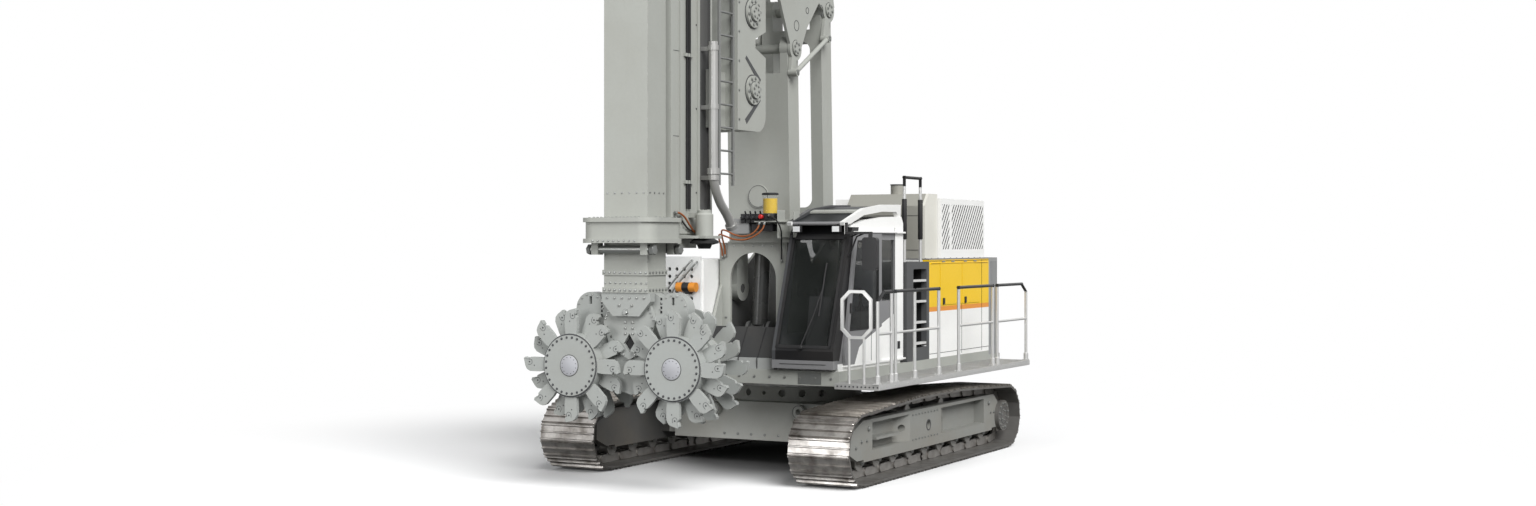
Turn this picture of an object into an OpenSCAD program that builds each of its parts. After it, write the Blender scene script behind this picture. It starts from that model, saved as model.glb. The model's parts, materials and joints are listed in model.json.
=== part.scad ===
// Crawler drilling rig with a vertical leader, a kelly and a twin cutter head.
// Millimetres. Origin on the ground under the slewing axis.
// The front is -Y, +X is the cab side and +Z is up.

/* [Crawler tracks] */
// Width over both tracks
crawler_width = 4340; // [4260:10:4500]
// Width of one track shoe
shoe_width = 800; // [740:10:840]
// Length over one track, out to the grouser tips
crawler_length = 5800; // [5600:20:6100]
// Height of a grouser bar
grouser_h = 28; // [18:1:34]
// Thickness of a shoe plate
shoe_plate = 24; // [18:1:30]
// Wanted spacing of the shoes along the loop
shoe_pitch = 218; // [200:1:240]
// Radius of the loop at its ends, to the outside of the shoe plates
wrap_r = 424; // [410:2:440]
// Rise of the top run over the carrier rollers
crown_rise = 78; // [50:2:100]
// Half the length of the raised top run
crown_half = 700; // [500:10:1000]
// Height of a chain link
chain_h = 112; // [100:2:124]
// Width of the chain
chain_w = 210; // [180:5:240]

/* [Undercarriage] */
// Width of a side frame
side_frame_w = 500; // [460:10:540]
// Underside of a side frame
side_frame_z0 = 300; // [280:5:320]
// Top of a side frame
side_frame_z1 = 770; // [740:5:780]
// Radius of a bottom roller
roller_r = 95; // [85:1:105]
// Count of bottom rollers on one side
roller_n = 9; // [7:1:10]
// Radius of a carrier roller
carrier_r = 70; // [60:1:76]
// Half length of the centre box, front to back
carbody_half = 1060; // [1000:10:1120]
// Underside of the centre box
carbody_z0 = 330; // [300:5:360]
// Top of the centre box
carbody_z1 = 830; // [800:5:850]
// Radius of the slewing pedestal
pedestal_r = 900; // [860:5:940]
// Top of the slewing pedestal
pedestal_z1 = 1015; // [990:5:1040]
// Height of the slewing ring
ring_h = 70; // [60:2:84]
// Bore radius of a lashing eye
lash_r = 40; // [34:1:46]

/* [Upper carriage] */
// Width of the upper carriage without its walkway
upper_w = 3000; // [2900:10:3080]
// Front edge of the deck
deck_y0 = -1750; // [-1800:10:-1700]
// Rear edge of the deck, where the ballast starts
deck_y1 = 3360; // [3300:10:3450]
// Underside of the deck's edge beams
deck_z0 = 1130; // [1115:5:1150]
// Top of the deck
deck_z1 = 1310; // [1295:5:1330]
// Thickness of a deck plate
deck_t = 30; // [20:1:40]
// Depth of the rear ballast
ballast_d = 570; // [500:10:640]
// Top of the engine hood and the ballast
hood_z1 = 2685; // [2640:5:2720]
// Front of the engine hood
hood_y0 = 1105; // [1080:5:1140]
// Thickness of a hood panel
panel_t = 30; // [20:1:36]
// Outer edge of the left walkway
walk_x1 = 2100; // [2060:10:2150]
// Top of the walkway's handrail
rail_z = 2325; // [2280:5:2360]
// Radius of a rail tube
tube_r = 21; // [16:1:26]

/* [Cab] */
// Inner side of the cab
cab_x0 = 610; // [580:5:640]
// Outer side of the cab wall
cab_x1 = 1460; // [1440:5:1462]
// Front of the cab floor
cab_y0 = -1830; // [-1880:5:-1790]
// Rear of the cab
cab_y1 = 310; // [280:5:330]
// Height of the cab's eaves at the front
cab_z_front = 3010; // [2960:5:3060]
// Height of the cab roof at the rear
cab_z_rear = 3250; // [3220:5:3280]
// Thickness of a cab wall
cab_t = 45; // [36:1:55]
// Thickness of a pane
glass_t = 8; // [6:1:10]
// Thickness of the sliding door
door_t = 36; // [30:1:40]
// Gap between the sliding door and the wall behind it
door_gap = 6; // [5.5:0.5:8]

/* [Arms] */
// Half width over the arms
arm_half = 450; // [430:5:460]
// Depth of an arm, front to back
arm_d = 300; // [270:5:320]
// Plate thickness of the arms
arm_t = 30; // [24:1:40]
// Length of the front arm between its pins
arm_len = 3130; // [3080:10:3180]
// Forward lean of the arms at rest
arm_lean = 1.8; // [1.2:0.1:2.4]
// Radius of an arm pin
pin_r = 60; // [54:1:66]
// Radial clearance of a pin in its bore
pin_clear = 0.08; // [0.04:0.01:0.1]
// Thickness of the portal's side plates
cheek_t = 40; // [34:1:46]
// Gap beside an arm
side_gap = 8; // [6:0.5:10]

/* [Leader] */
// Width of the leader box
leader_w = 600; // [560:5:620]
// Front face of the leader box
leader_y0 = -3720; // [-3740:5:-3700]
// Rear face of the leader box
leader_y1 = -2960; // [-2990:5:-2940]
// Wall of the leader box
leader_t = 16; // [12:1:20]
// Foot of the leader
leader_z0 = 2950; // [2900:10:3000]
// Top of the leader box
leader_z1 = 21400; // [20800:50:22000]
// Gap between a slide and its rail
slide_gap = 6; // [5.5:0.5:7]
// Rung spacing of the leader's ladder
rung_pitch = 280; // [260:5:300]

/* [Kelly and cutter] */
// Width of the kelly box
kelly_w = 590; // [560:5:610]
// Depth of the kelly box
kelly_d = 400; // [370:5:410]
// Centre of the kelly, front to back
kelly_y = -4060; // [-4080:5:-4050]
// Wall of the kelly box
kelly_t = 22; // [18:1:26]
// Top of the kelly
kelly_z1 = 19600; // [19000:50:20000]
// Distance of a cutter axle from the centre line
axle_x = 690; // [680:2:700]
// Height of the cutter axles
axle_z = 1480; // [1460:5:1500]
// Radius out to the cutter teeth's tips
tooth_r = 664; // [640:2:668]
// Radius of a cutter drum
drum_r = 372; // [350:2:380]
// Half the width over a pair of drums
drum_half = 312; // [300:2:320]
// Paddles in one row of a drum
paddle_n = 8; // [7:1:9]
// Half thickness of the gear shield between the drums
shield_half = 78; // [70:1:82]

/* [Hidden] */
$fn = 48;

track_x = (crawler_width - shoe_width) / 2;
wrap_y = crawler_length / 2 - grouser_h - wrap_r;
wrap_z = grouser_h + wrap_r;
crown_z = wrap_z + wrap_r + crown_rise;
crown_v = [crown_half - wrap_y, crown_z - wrap_z];
crown_d = norm(crown_v);
tang = atan2(crown_v[1], crown_v[0]) - acos(wrap_r / crown_d);
len_arc = wrap_r * (tang + 90) * PI / 180;
len_slope = sqrt(crown_d * crown_d - wrap_r * wrap_r);
len_half = wrap_y + len_arc + len_slope + crown_half;
loop_len = 2 * len_half;
shoe_n = round(loop_len / shoe_pitch);
pitch = loop_len / shoe_n;
wrap_turn = pitch / wrap_r * 90 / PI;
chain_in = shoe_plate + chain_h;
wheel_r = (wrap_r - chain_in) * cos(wrap_turn) - 0.5;

ring_z1 = pedestal_z1 + ring_h;
lash_x = 630;
lash_len = 80;
slew_gap = 0.5;
half_w = upper_w / 2;

// the parallelogram of the two arms, [y, z] of its four pins
front_low = [-850, 2300];
arm_v = [-arm_len * sin(arm_lean), arm_len * cos(arm_lean)];
pin_step = [970, 600];
rear_low = front_low + pin_step;
front_top = front_low + arm_v;
rear_top = rear_low + arm_v;
cheek_in = arm_half + side_gap;
cheek_out = cheek_in + cheek_t;
// pins of the lift and tilt cylinders and of the leader's tilting axis
lift_low = [-1010, 1790];
lift_top = front_low + arm_v * 0.32;
tilt_axis = [-1700, 6700];
tilt_low = [-300, 7250];
tilt_top = [-1760, 8350];
brace_a = [-1049, 5102];
brace_b = [-110, 5630];
eye_r = 45;
eye_play = 16;
pad_gap = 0.5;

// collision-free side play of the rails on the leader
rail_in = 190;
rail_out = leader_w / 2 + 40;
rail_t = 40;
rail_stem = 60;
rib = 18;

shoe_out = [[0, -9], [0.03, 0], [0.07, 1], [0.15, 0], [0.44, 0], [0.5, 1], [0.56, 0], [0.85, 0],
    [0.93, 1], [0.97, 0]];

// solids between two limits on each axis
module box(x, y, z) {
    translate([x[0], y[0], z[0]]) cube([x[1] - x[0], y[1] - y[0], z[1] - z[0]]);
}
// both sides of the machine
module pair() {
    children();
    mirror([1, 0, 0]) children();
}
// a profile drawn in y and z, extruded along x
module along_x(x0, x1) {
    translate([x0, 0, 0]) rotate([90, 0, 90]) linear_extrude(x1 - x0) children();
}
// a profile drawn in x and z, extruded along y
module along_y(y0, y1) {
    translate([0, y1, 0]) rotate([90, 0, 0]) linear_extrude(y1 - y0) children();
}
module rod_x(p, x0, x1, r) {
    translate([x0, p[0], p[1]]) rotate([0, 90, 0]) cylinder(h = x1 - x0, r = r);
}
module rod_y(p, y0, y1, r) {
    translate([p[0], y0, p[1]]) rotate([-90, 0, 0]) cylinder(h = y1 - y0, r = r);
}
module rod_z(p, z0, z1, r) {
    translate([p[0], p[1], z0]) cylinder(h = z1 - z0, r = r);
}
// a round bar between two points in the plane x = const
module link_bar(x, a, b, r) {
    v = b - a;
    translate([x, a[0], a[1]]) rotate([-atan2(v[0], v[1]), 0, 0]) cylinder(h = norm(v), r = r);
}
// a rectangle with round corners
module round_rect(a, b, r) {
    translate([a[0] + r, a[1]]) square([b[0] - a[0] - 2 * r, b[1] - a[1]]);
    translate([a[0], a[1] + r]) square([b[0] - a[0], b[1] - a[1] - 2 * r]);
    for (u = [a[0] + r, b[0] - r], v = [a[1] + r, b[1] - r]) translate([u, v]) circle(r);
}

// the track's path, from the middle of the ground run round to the middle of the top
function half_path(s) =
    s < wrap_y ? [s, grouser_h]
    : s < wrap_y + len_arc ? arc_point((s - wrap_y) / wrap_r * 180 / PI - 90)
    : s < wrap_y + len_arc + len_slope ? slope_point((s - wrap_y - len_arc) / len_slope)
    : [len_half - s, crown_z];
function arc_point(a) = [wrap_y + wrap_r * cos(a), wrap_z + wrap_r * sin(a)];
function slope_point(f) = arc_point(tang) * (1 - f) + [crown_half, crown_z] * f;
function path(s) = s <= len_half ? half_path(s) : [-half_path(loop_len - s)[0],
    half_path(loop_len - s)[1]];
function wrap_s(s) = s < 0 ? s + loop_len : s >= loop_len ? s - loop_len : s;
function path_n(s) = let (d = path(wrap_s(s + 8)) - path(wrap_s(s - 8))) [d[1], -d[0]] / norm(d);
function inset(i, t) = path(i * pitch) - path_n(i * pitch) * t;
function shoe_point(i, q) = let (a = path(i * pitch), d = path(wrap_s((i + 1) * pitch)) - a)
    a + d * q[0] + [d[1], -d[0]] / norm(d) * q[1] * (q[1] < 0 ? 1 : grouser_h);

module shoes_2d() {
    difference() {
        polygon([for (i = [0 : shoe_n - 1], q = shoe_out) shoe_point(i, q)]);
        polygon([for (i = [0 : shoe_n - 1]) inset(i, shoe_plate)]);
    }
}
module chain_2d() {
    difference() {
        polygon([for (i = [0 : shoe_n - 1]) inset(i, shoe_plate - 4)]);
        polygon([for (i = [0 : shoe_n - 1]) inset(i, chain_in)]);
    }
}
module track() {
    along_x(track_x - shoe_width / 2, track_x + shoe_width / 2) shoes_2d();
    along_x(track_x - chain_w / 2, track_x + chain_w / 2) chain_2d();
}
module track_left() {
    color([0.30, 0.27, 0.24]) track();
}
module track_right() {
    color([0.30, 0.27, 0.24]) mirror([1, 0, 0]) track();
}

// recesses of the side frame, in shares of the half wheel base
recess_k = [[-0.7721, -0.3922, -0.3023], [0.7435, 0.2860, 0.1062]];
// pads between side frame and centre box, and the span of its feet
foot_pad = 120;
foot_y = [550, 970];
// side frame: a deep beam with pockets in its outer face and a fork for the idler
module side_frame() {
    x0 = track_x - side_frame_w / 2;
    x1 = track_x + side_frame_w / 2;
    yf = -wrap_y + wheel_r + 40;
    yr = wrap_y - wheel_r - 40;
    cavity = 150;
    pocket_z0 = roller_z + roller_r + 40;
    trough = chain_w / 2 + 15;
    difference() {
        union() {
            along_x(x0, x1) polygon([[yf, side_frame_z0], [yr, side_frame_z0], [yr, side_frame_z1],
                [yf, side_frame_z1]]);
            for (x = [[x0, track_x - chain_w / 2 - 20], [track_x + chain_w / 2 + 20, x1]])
                along_x(x[0], x[1]) polygon([[-wrap_y - 110, 400], [-wrap_y + 120, side_frame_z0],
                    [yf + 20, side_frame_z0],
                    [yf + 20, side_frame_z1], [yf - 20, side_frame_z1], [-wrap_y - 110, 610]]);
            for (x = [[x0, track_x - chain_w / 2 - 20], [track_x + chain_w / 2 + 20, x1]])
                along_x(x[0], x[1]) polygon([[yr - 20, side_frame_z0], [wrap_y - 80, side_frame_z0],
                    [wrap_y + 40, 400],
                    [wrap_y + 40, 560], [yr + 60, side_frame_z1], [yr - 20, side_frame_z1]]);
            box([x0, x1], [yf, yr], [side_frame_z0 - 30, side_frame_z0 + 1]);
            // pads that carry the feet of the centre box
            for (s = [-1, 1]) box([x0 - foot_pad, x0 + 1], s > 0 ? foot_y : -[foot_y[1], foot_y[0]],
                [carbody_z0 + 40, side_frame_z1 - 40]);
        }
        // recesses beside the middle box, each with one slanting wall
        // [far end, foot of the slant, edge of the box]
        for (k = recess_k * wrap_y)
            translate([0, 0, pocket_z0]) linear_extrude(side_frame_z1 - 40 - pocket_z0)
                polygon([[x1 + 1, k[0]], [x1 - cavity, k[0]], [x1 - cavity, k[1]], [x1 + 1, k[2]]]);
        rod_x([-0.0613 * wrap_y, 546], x1 - cavity, x1 + 1, 60);
        for (k = [-0.3472, 0.1961]) rod_x([k * wrap_y, 560], x1 - cavity - 60, x1 + 1, 45);
        // trough for the chain and holes for the stub shafts
        box([track_x - trough, track_x + trough], [yf - 50, yr + 80],
            [side_frame_z1 - 50, side_frame_z1 + 1]);
        rod_x([wrap_y, wrap_z], track_x, x1 + 1, 31);
        // room for the rollers
        for (i = [0 : roller_n - 1])
            rod_x([roller_y(i), roller_z], track_x - chain_w / 2 - 50, track_x + chain_w / 2 + 50,
                roller_r + 25);
        for (s = [-1, 1])
            rod_x([s * crown_half * 0.8, carrier_z], track_x - chain_w / 2 - 30,
                track_x + chain_w / 2 + 30, carrier_r + 20);
        box([track_x - chain_w / 2 - 50, track_x + chain_w / 2 + 50], [-wrap_y, wrap_y],
            [side_frame_z0 - 40, side_frame_z0 + 5]);
    }
    // step in the front recess
    box([x1 - cavity - 1, x1 - 4], [-0.719 * wrap_y, -0.4167 * wrap_y],
        [pocket_z0 + 110, pocket_z0 + 140]);
}
roller_z = grouser_h + chain_in + roller_r + 0.5;
carrier_z = crown_z - chain_in - carrier_r - 0.5;
function roller_y(i) = (-1 + 2 * i / (roller_n - 1)) * (wrap_y - wheel_r - roller_r - 60);

module side_frame_left() {
    color([0.60, 0.60, 0.56]) side_frame();
}
module side_frame_right() {
    color([0.60, 0.60, 0.56]) mirror([1, 0, 0]) side_frame();
}
// one roller with its shaft; the shaft ends meet the side frame
module roller(y, z, r, over) {
    rod_x([y, z], track_x - chain_w / 2 + 6, track_x + chain_w / 2 - 6, r);
    for (s = [-1, 1])
        rod_x([y, z], track_x + s * (chain_w / 2 + 14) - 10, track_x + s * (chain_w / 2 + 14)
            + 10, r + 18);
    rod_x([y, z], track_x - chain_w / 2 - over, track_x + chain_w / 2 + over, r * 0.45);
}
module rollers() {
    color([0.25, 0.25, 0.25]) pair() {
        for (i = [0 : roller_n - 1]) roller(roller_y(i), roller_z, roller_r, 50);
        for (s = [-1, 1]) roller(s * crown_half * 0.8, carrier_z, carrier_r - 2, 30);
    }
}
module idlers() {
    color([0.28, 0.27, 0.26]) pair() {
        difference() {
            rod_x([-wrap_y, wrap_z], track_x - chain_w / 2 + 20, track_x + chain_w / 2 - 20, wheel_r);
            for (s = [-1, 1]) translate([track_x + s * (chain_w / 2 - 20), -wrap_y, wrap_z])
                rotate([0, 90, 0])
                rotate_extrude() translate([90, -30]) square([wheel_r - 150, 60]);
        }
        rod_x([-wrap_y, wrap_z], track_x - chain_w / 2 - 20, track_x + chain_w / 2 + 20, 75);
    }
}
module sprockets() {
    teeth = 2 * floor(wheel_r * PI / pitch);
    color([0.30, 0.29, 0.28]) pair() {
        along_x(track_x - 45, track_x + 45) difference() {
            translate([wrap_y, wrap_z]) circle(wheel_r);
            for (i = [0 : teeth - 1]) translate([wrap_y, wrap_z]) rotate(360 * i / teeth)
                translate([wheel_r + 22, 0]) circle(46);
        }
        rod_x([wrap_y, wrap_z], track_x - chain_w / 2 - 20, track_x + chain_w / 2 + 20, 190);
        rod_x([wrap_y + 1, wrap_z], track_x + side_frame_w / 2 + 1, track_x + side_frame_w / 2 + 60, 215);
        rod_x([wrap_y, wrap_z], track_x, track_x + side_frame_w / 2 + 2, 30);
    }
}

module carbody() {
    x1 = track_x - side_frame_w / 2;
    color([0.62, 0.62, 0.58]) difference() {
        union() {
            box([-x1 + 260, x1 - 260], [-carbody_half, carbody_half], [carbody_z0, carbody_z1]);
            for (s = [-1, 1]) box([-x1 + foot_pad, x1 - foot_pad], s > 0 ? foot_y : -[foot_y[1],
                foot_y[0]],
                [carbody_z0 + 40, side_frame_z1 - 40]);
            rod_z([0, 0], carbody_z1 - 1, pedestal_z1, pedestal_r);
        }
        rod_z([0, 0], carbody_z1 - 250, pedestal_z1 + 1, pedestal_r - 220);
        for (a = [-50, -33, -16, 0, 16, 33, 50], t = [0, 180]) rotate([0, 0, a + t])
            rod_y([0, (carbody_z1 + pedestal_z1) / 2 + 10], -pedestal_r - 10, -pedestal_r + 120, abs(a)
                < 1 ? 26 : 46);
    }
}
// thick rings for towing and lashing pins, on the front and rear of the centre box
module lashing_eyes() {
    color([0.62, 0.62, 0.58]) for (s = [-1, 1], t = [0, 180]) rotate([0, 0, t]) difference() {
        rod_y([s * lash_x, carbody_z1 - 105], carbody_half, carbody_half + lash_len, lash_r + 52);
        rod_y([s * lash_x, carbody_z1 - 105], carbody_half - 1, carbody_half + lash_len + 1, lash_r);
    }
}
module slew_ring() {
    color([0.35, 0.35, 0.35]) difference() {
        rod_z([0, 0], pedestal_z1, ring_z1, pedestal_r - 30);
        rod_z([0, 0], pedestal_z1 - 1, ring_z1 + 1, pedestal_r - 180);
    }
}

// the deck: a top plate on two main beams, cross beams and a bearing collar
module deck_frame() {
    color([0.66, 0.66, 0.64]) difference() {
        union() {
            box([-half_w, half_w], [deck_y0, deck_y1], [deck_z1 - deck_t, deck_z1]);
            for (s = [-1, 1]) {
                box([s * (cheek_out - 60) - 60, s * (cheek_out - 60) + 60], [deck_y0, deck_y1],
                    [deck_z0, deck_z1 - 1]);
                box([s * (half_w - 40) - 40, s * (half_w - 40) + 40], [deck_y0, deck_y1],
                    [deck_z0, deck_z1 - 1]);
            }
            for (y = [deck_y0, 1500, deck_y1 - 60])
                box([-half_w, half_w], [y, y + 60], [deck_z0, deck_z1 - 1]);
            rod_z([0, 0], ring_z1 + slew_gap, deck_z1 - 1, pedestal_r - 10);
            box([-half_w, half_w], [deck_y1 - 1, deck_y1 + ballast_d * 0.8], [deck_z0, deck_z0 + 120]);
        }
        rod_z([0, 0], ring_z1 - 1, deck_z1 + 1, pedestal_r - 260);
    }
}

// outline of a portal side plate in y and z
module cheek_2d() {
    polygon([[-1480, deck_z1], [-1480, 1750], [-1195, 2350], [-1195, 2905], [-650, 2905], [-480, 2620],
        [rear_low[0] - 190, rear_low[1]], [rear_low[0] + 190, rear_low[1]], [560, 2100], [700, deck_z1]]);
    translate(rear_low) circle(190);
}
module portal() {
    arch_r = 335;
    color([0.70, 0.71, 0.69]) {
        difference() {
            union() {
                pair() along_x(cheek_in, cheek_out) cheek_2d();
                along_y(-1195, -1155) difference() {
                    translate([-cheek_in - 1, deck_z1]) square([2 * cheek_in + 2, 2905 - deck_z1]);
                    translate([-arch_r, deck_z1 + 200]) square([2 * arch_r, 2440 - deck_z1 - 200]);
                    translate([0, 2440]) circle(arch_r);
                }
                box([-cheek_in - 1, cheek_in + 1], [560, 600], [deck_z1, 1900]);
            }
            for (p = [front_low, rear_low]) rod_x(p, -cheek_out - 1, cheek_out + 1, pin_r + pin_clear);
        }
        for (x = [-150, 150]) difference() {
            along_x(x - 20, x + 20) union() {
                polygon([[-1155 - 1, deck_z1 - 0], [-860, deck_z1], [lift_low[0] + 90, lift_low[1]],
                    [lift_low[0] - 90, lift_low[1]], [-1156, 1700]]);
                translate(lift_low) circle(90);
            }
            rod_x(lift_low, x - 21, x + 21, 40);
        }
        rod_x(lift_low, -170, 170, 40);
        for (p = [front_low, rear_low]) pair() rod_x(p, arm_half - 105, cheek_out + 15, pin_r);
        for (p = [front_low, rear_low], s = [-1, 1])
            rod_x(p, s * (cheek_out + 12) - 12, s * (cheek_out + 12) + 12, pin_r + 40);
    }
}
module front_cover() {
    color([0.30, 0.30, 0.31])
        along_x(-440, cab_x0 - 20) polygon([[deck_y0 + 10, deck_z1], [deck_y0 + 30, deck_z1 + 145],
            [-1490, 1830],
            [-1481, 1830], [-1481, deck_z1]]);
}

// cab outline in y and z, moved in by t all round
module cab_2d(t) {
    polygon([[cab_y0 + t, deck_z1 + 30 + t], [cab_y0 + t * 0.9, deck_z1 + 250],
        [-1330 + t, cab_z_front - t * 0.4], [-1230 + t * 0.6, cab_z_front + 120 - t],
        [-900, cab_z_rear - 62 - t], [-300, cab_z_rear - 12 - t], [cab_y1 - 60 - t, cab_z_rear - t],
        [cab_y1 - t, cab_z_rear - 90 - t], [cab_y1 - t, deck_z1 + 30 + t]]);
}
// height of the rear part of the roof
function roof_z(y) = cab_z_rear - 12 + 12 * (y + 300) / (cab_y1 + 240);
// the skylight, a strip of the roof between two lines, from a to b under its surface
module skylight_2d(a, b) {
    polygon([[-880, cab_z_rear - 60 - a], [-300, cab_z_rear - 12 - a], [-180, cab_z_rear - 9 - a],
        [-180, cab_z_rear - 9 - b], [-300, cab_z_rear - 12 - b], [-880, cab_z_rear - 60 - b]]);
}
screen_v = [-1330 - cab_y0, cab_z_front - (deck_z1 + 250)];
screen_d = norm(screen_v);
// places a block on the slanting windscreen: along it from a to b, in from c to d
module on_screen(x, a, b, c, d) {
    translate([0, cab_y0, deck_z1 + 250]) rotate([-atan2(screen_v[0], screen_v[1]), 0, 0])
        box(x, [c, d], [a, b]);
}
module cab_shell() {
    inset_x = 70;
    color([0.86, 0.86, 0.84]) {
        difference() {
            along_x(cab_x0, cab_x1) cab_2d(0);
            along_x(cab_x0 + cab_t, cab_x1 - cab_t) cab_2d(cab_t);
            on_screen([cab_x0 + inset_x, cab_x1 - inset_x], 70, screen_d - 60, -200, cab_t + 60);
            along_x(cab_x0 + inset_x + 30, cab_x1 - inset_x - 30) skylight_2d(-80, cab_t + 20);
            box([cab_x0 + inset_x + 30, cab_x1 - inset_x - 30], [cab_y1 - cab_t - 20, cab_y1 + 20],
                [2150, 3000]);
            for (x = [[cab_x0 - 1, cab_x0 + cab_t + 1]])
                along_x(x[0], x[1]) side_window_2d(0);
            along_x(cab_x1 - cab_t - 1, cab_x1 + 1) door_hole_2d();
            along_x(cab_x1 - cab_t - 1, cab_x1 + 1) rear_window_2d();
        }
        for (z = [door_z0 - 22 - pad_gap, door_z1 + 7])
            box([cab_x1 - 1, cab_x1 + door_gap + door_t], [z < 2000 ? -1560 : -1240, cab_y1 - 8],
                [z, z + 22]);
        box([cab_x0, cab_x1], [cab_y0 + 150, cab_y1 - 100], [deck_z1, deck_z1 + 31]);
    }
}
module side_window_2d(t) {
    polygon([[-1500 + t, 1750 + t], [-1240 + t, 2940 - t], [100 - t, 2940 - t], [100 - t, 1750 + t]]);
}
module door_hole_2d() {
    polygon([[-1540, 1560], [-1250, 2940], [-560, 2940], [-560, 1560]]);
}
module rear_window_2d() {
    polygon([[-420, 2150], [-420, 2940], [20, 2940], [20, 2150]]);
}
module cab_glass() {
    inset_x = 70;
    mid = cab_t / 2;
    color([0.25, 0.33, 0.36, 0.5]) {
        on_screen([cab_x0 + inset_x, cab_x1 - inset_x], 70, screen_d - 60, mid - glass_t / 2,
            mid + glass_t / 2);
        along_x(cab_x0 + mid - glass_t / 2, cab_x0 + mid + glass_t / 2) side_window_2d(0);
        along_x(cab_x1 - mid - glass_t / 2, cab_x1 - mid + glass_t / 2) rear_window_2d();
        along_x(cab_x0 + inset_x + 30, cab_x1 - inset_x - 30)
            skylight_2d(mid - glass_t / 2, mid + glass_t / 2);
        box([cab_x0 + inset_x + 30, cab_x1 - inset_x - 30], [cab_y1 - mid - glass_t / 2,
            cab_y1 - mid + glass_t / 2], [2150, 3000]);
    }
}
module cab_interior() {
    xm = (cab_x0 + cab_x1) / 2;
    z0 = deck_z1 + 30 + cab_t;
    color([0.15, 0.15, 0.16]) {
        along_x(xm - 240, xm + 240) polygon([[-760, z0], [-300, z0], [-260, z0 + 420],
            [-130, z0 + 420], [20, z0 + 1150],
            [-90, z0 + 1170], [-260, z0 + 560], [-760, z0 + 520]]);
        for (s = [-1, 1]) box([xm + s * 310 - 60, xm + s * 310 + 60], [-900, -250], [z0, z0 + 640]);
        along_x(xm - 150, xm + 150) polygon([[-1480, z0], [-1330, z0], [-1250, z0 + 820],
            [-1320, z0 + 840]]);
    }
}
door_z0 = deck_z1 + 70;
door_z1 = 3020;
module door_2d(t) {
    polygon([[-1560 + t, door_z0 + t], [-1575 + t, door_z0 + 120], [-1254 + t, door_z1 - t],
        [-470 - t, door_z1 - t], [-470 - t, door_z0 + t]]);
}
module door_pane_2d() {
    polygon([[-1440, 1800], [-1205, 2935], [-560, 2935], [-560, 1800]]);
}
module cab_door() {
    x0 = cab_x1 + door_gap;
    color([0.42, 0.43, 0.44]) {
        difference() {
            along_x(x0, x0 + door_t) difference() {
                door_2d(0);
                door_pane_2d();
            }
            along_x(x0 + door_t - 8, x0 + door_t + 1) round_rect([-1500, 1690], [-1445, 1790], 24);
        }
        along_x(x0 + door_t - 9, x0 + door_t + 14) round_rect([-1440, 2020], [-1398, 2150], 18);
    }
}
module cab_door_glass() {
    x0 = cab_x1 + door_gap + door_t / 2;
    color([0.25, 0.33, 0.36, 0.5]) along_x(x0 - glass_t / 2, x0 + glass_t / 2) door_pane_2d();
}
// roof guard: side arms and bars over the skylight, with a lamp bar and the mirror
module cab_visor() {
    z0 = cab_z_rear;
    color([0.88, 0.88, 0.86]) {
        for (x = [cab_x0 + 40, cab_x1 - 70]) along_x(x, x + 60)
            polygon([[-1500, z0 - 90], [-1300, z0 - 30], [-900, z0 + 90], [-300, z0 + 150],
                [cab_y1 - 50, z0 + 160], [cab_y1 - 60, z0], [cab_y1 - 150, roof_z(cab_y1 - 150)],
                [cab_y1 - 190, z0 + 60], [-320, z0 + 60], [-900, z0 + 5], [-1180, z0 - 75],
                [-1300, z0 - 110], [-1480, z0 - 130]]);
        for (y = [-1180, -960, -740, -520, -300])
            rod_x([y, y < -800 ? z0 - 6 + (y + 1000) * 0.28 : z0 + 55 + (y + 740) * 0.1],
                cab_x0 + 42, cab_x1 - 12, 16);
        rod_x([-1440, z0 - 105], cab_x0 + 42, cab_x1 - 12, 24);
        // mirror on its bent arm
        box([cab_x1 - 11, cab_x1 + 19], [-1480, -1440], [3010, z0 - 95]);
        box([cab_x1 - 11, cab_x1 + 357], [-1480, -1440], [3010, 3040]);
        box([cab_x1 + 317, cab_x1 + 357], [-1480, -1440], [2960, 3011]);
        along_y(-1500, -1420) round_rect([cab_x1 + 237, 2560], [cab_x1 + 437, 2970], 40);
    }
}

// dark panel with the steps up to the roof
module step_panel() {
    y0 = cab_y1 + 35;
    x0 = 1120;
    color([0.33, 0.34, 0.35]) {
        difference() {
            box([x0, half_w], [y0, hood_y0], [deck_z1, hood_z1 - 40]);
            along_x(half_w - 260, half_w + 1) round_rect([step_y[0], 1483], [step_y[1], 2548], 30);
        }
        for (k = [0 : 3])
            box([half_w - 75, half_w - 5], [step_y[0] - 1, step_y[1] + 1],
                [1526 + 283 * k, 1556 + 283 * k]);
    }
}
step_y = [558, 1015];
flap_y = [[1490, 2285], [2300, 2976]];
flap_z = [2038, 2612];
flap_cut = [[0, 0], [198, 136]];
module engine_hood() {
    color([0.80, 0.80, 0.78]) {
        difference() {
            box([-half_w, half_w], [hood_y0, deck_y1], [deck_z1, hood_z1]);
            box([-half_w + panel_t, half_w - panel_t], [hood_y0 + panel_t, deck_y1 - panel_t],
                [deck_z1 - 1, hood_z1 - panel_t]);
            for (i = [0, 1]) along_x(half_w - panel_t - 1, half_w + 1)
                flap_2d(flap_y[i], flap_z[0] - 5, flap_z[1] + 5, flap_cut[i]);
            for (k = [0 : 7]) box([-half_w - 1, -half_w + panel_t + 1], [1500, 2500],
                [1700 + 110 * k, 1760 + 110 * k]);
        }
        rod_y([half_w + 5, flap_z[1] + 10], hood_y0 + 60, deck_y1 - 40, 8);
    }
}
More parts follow.
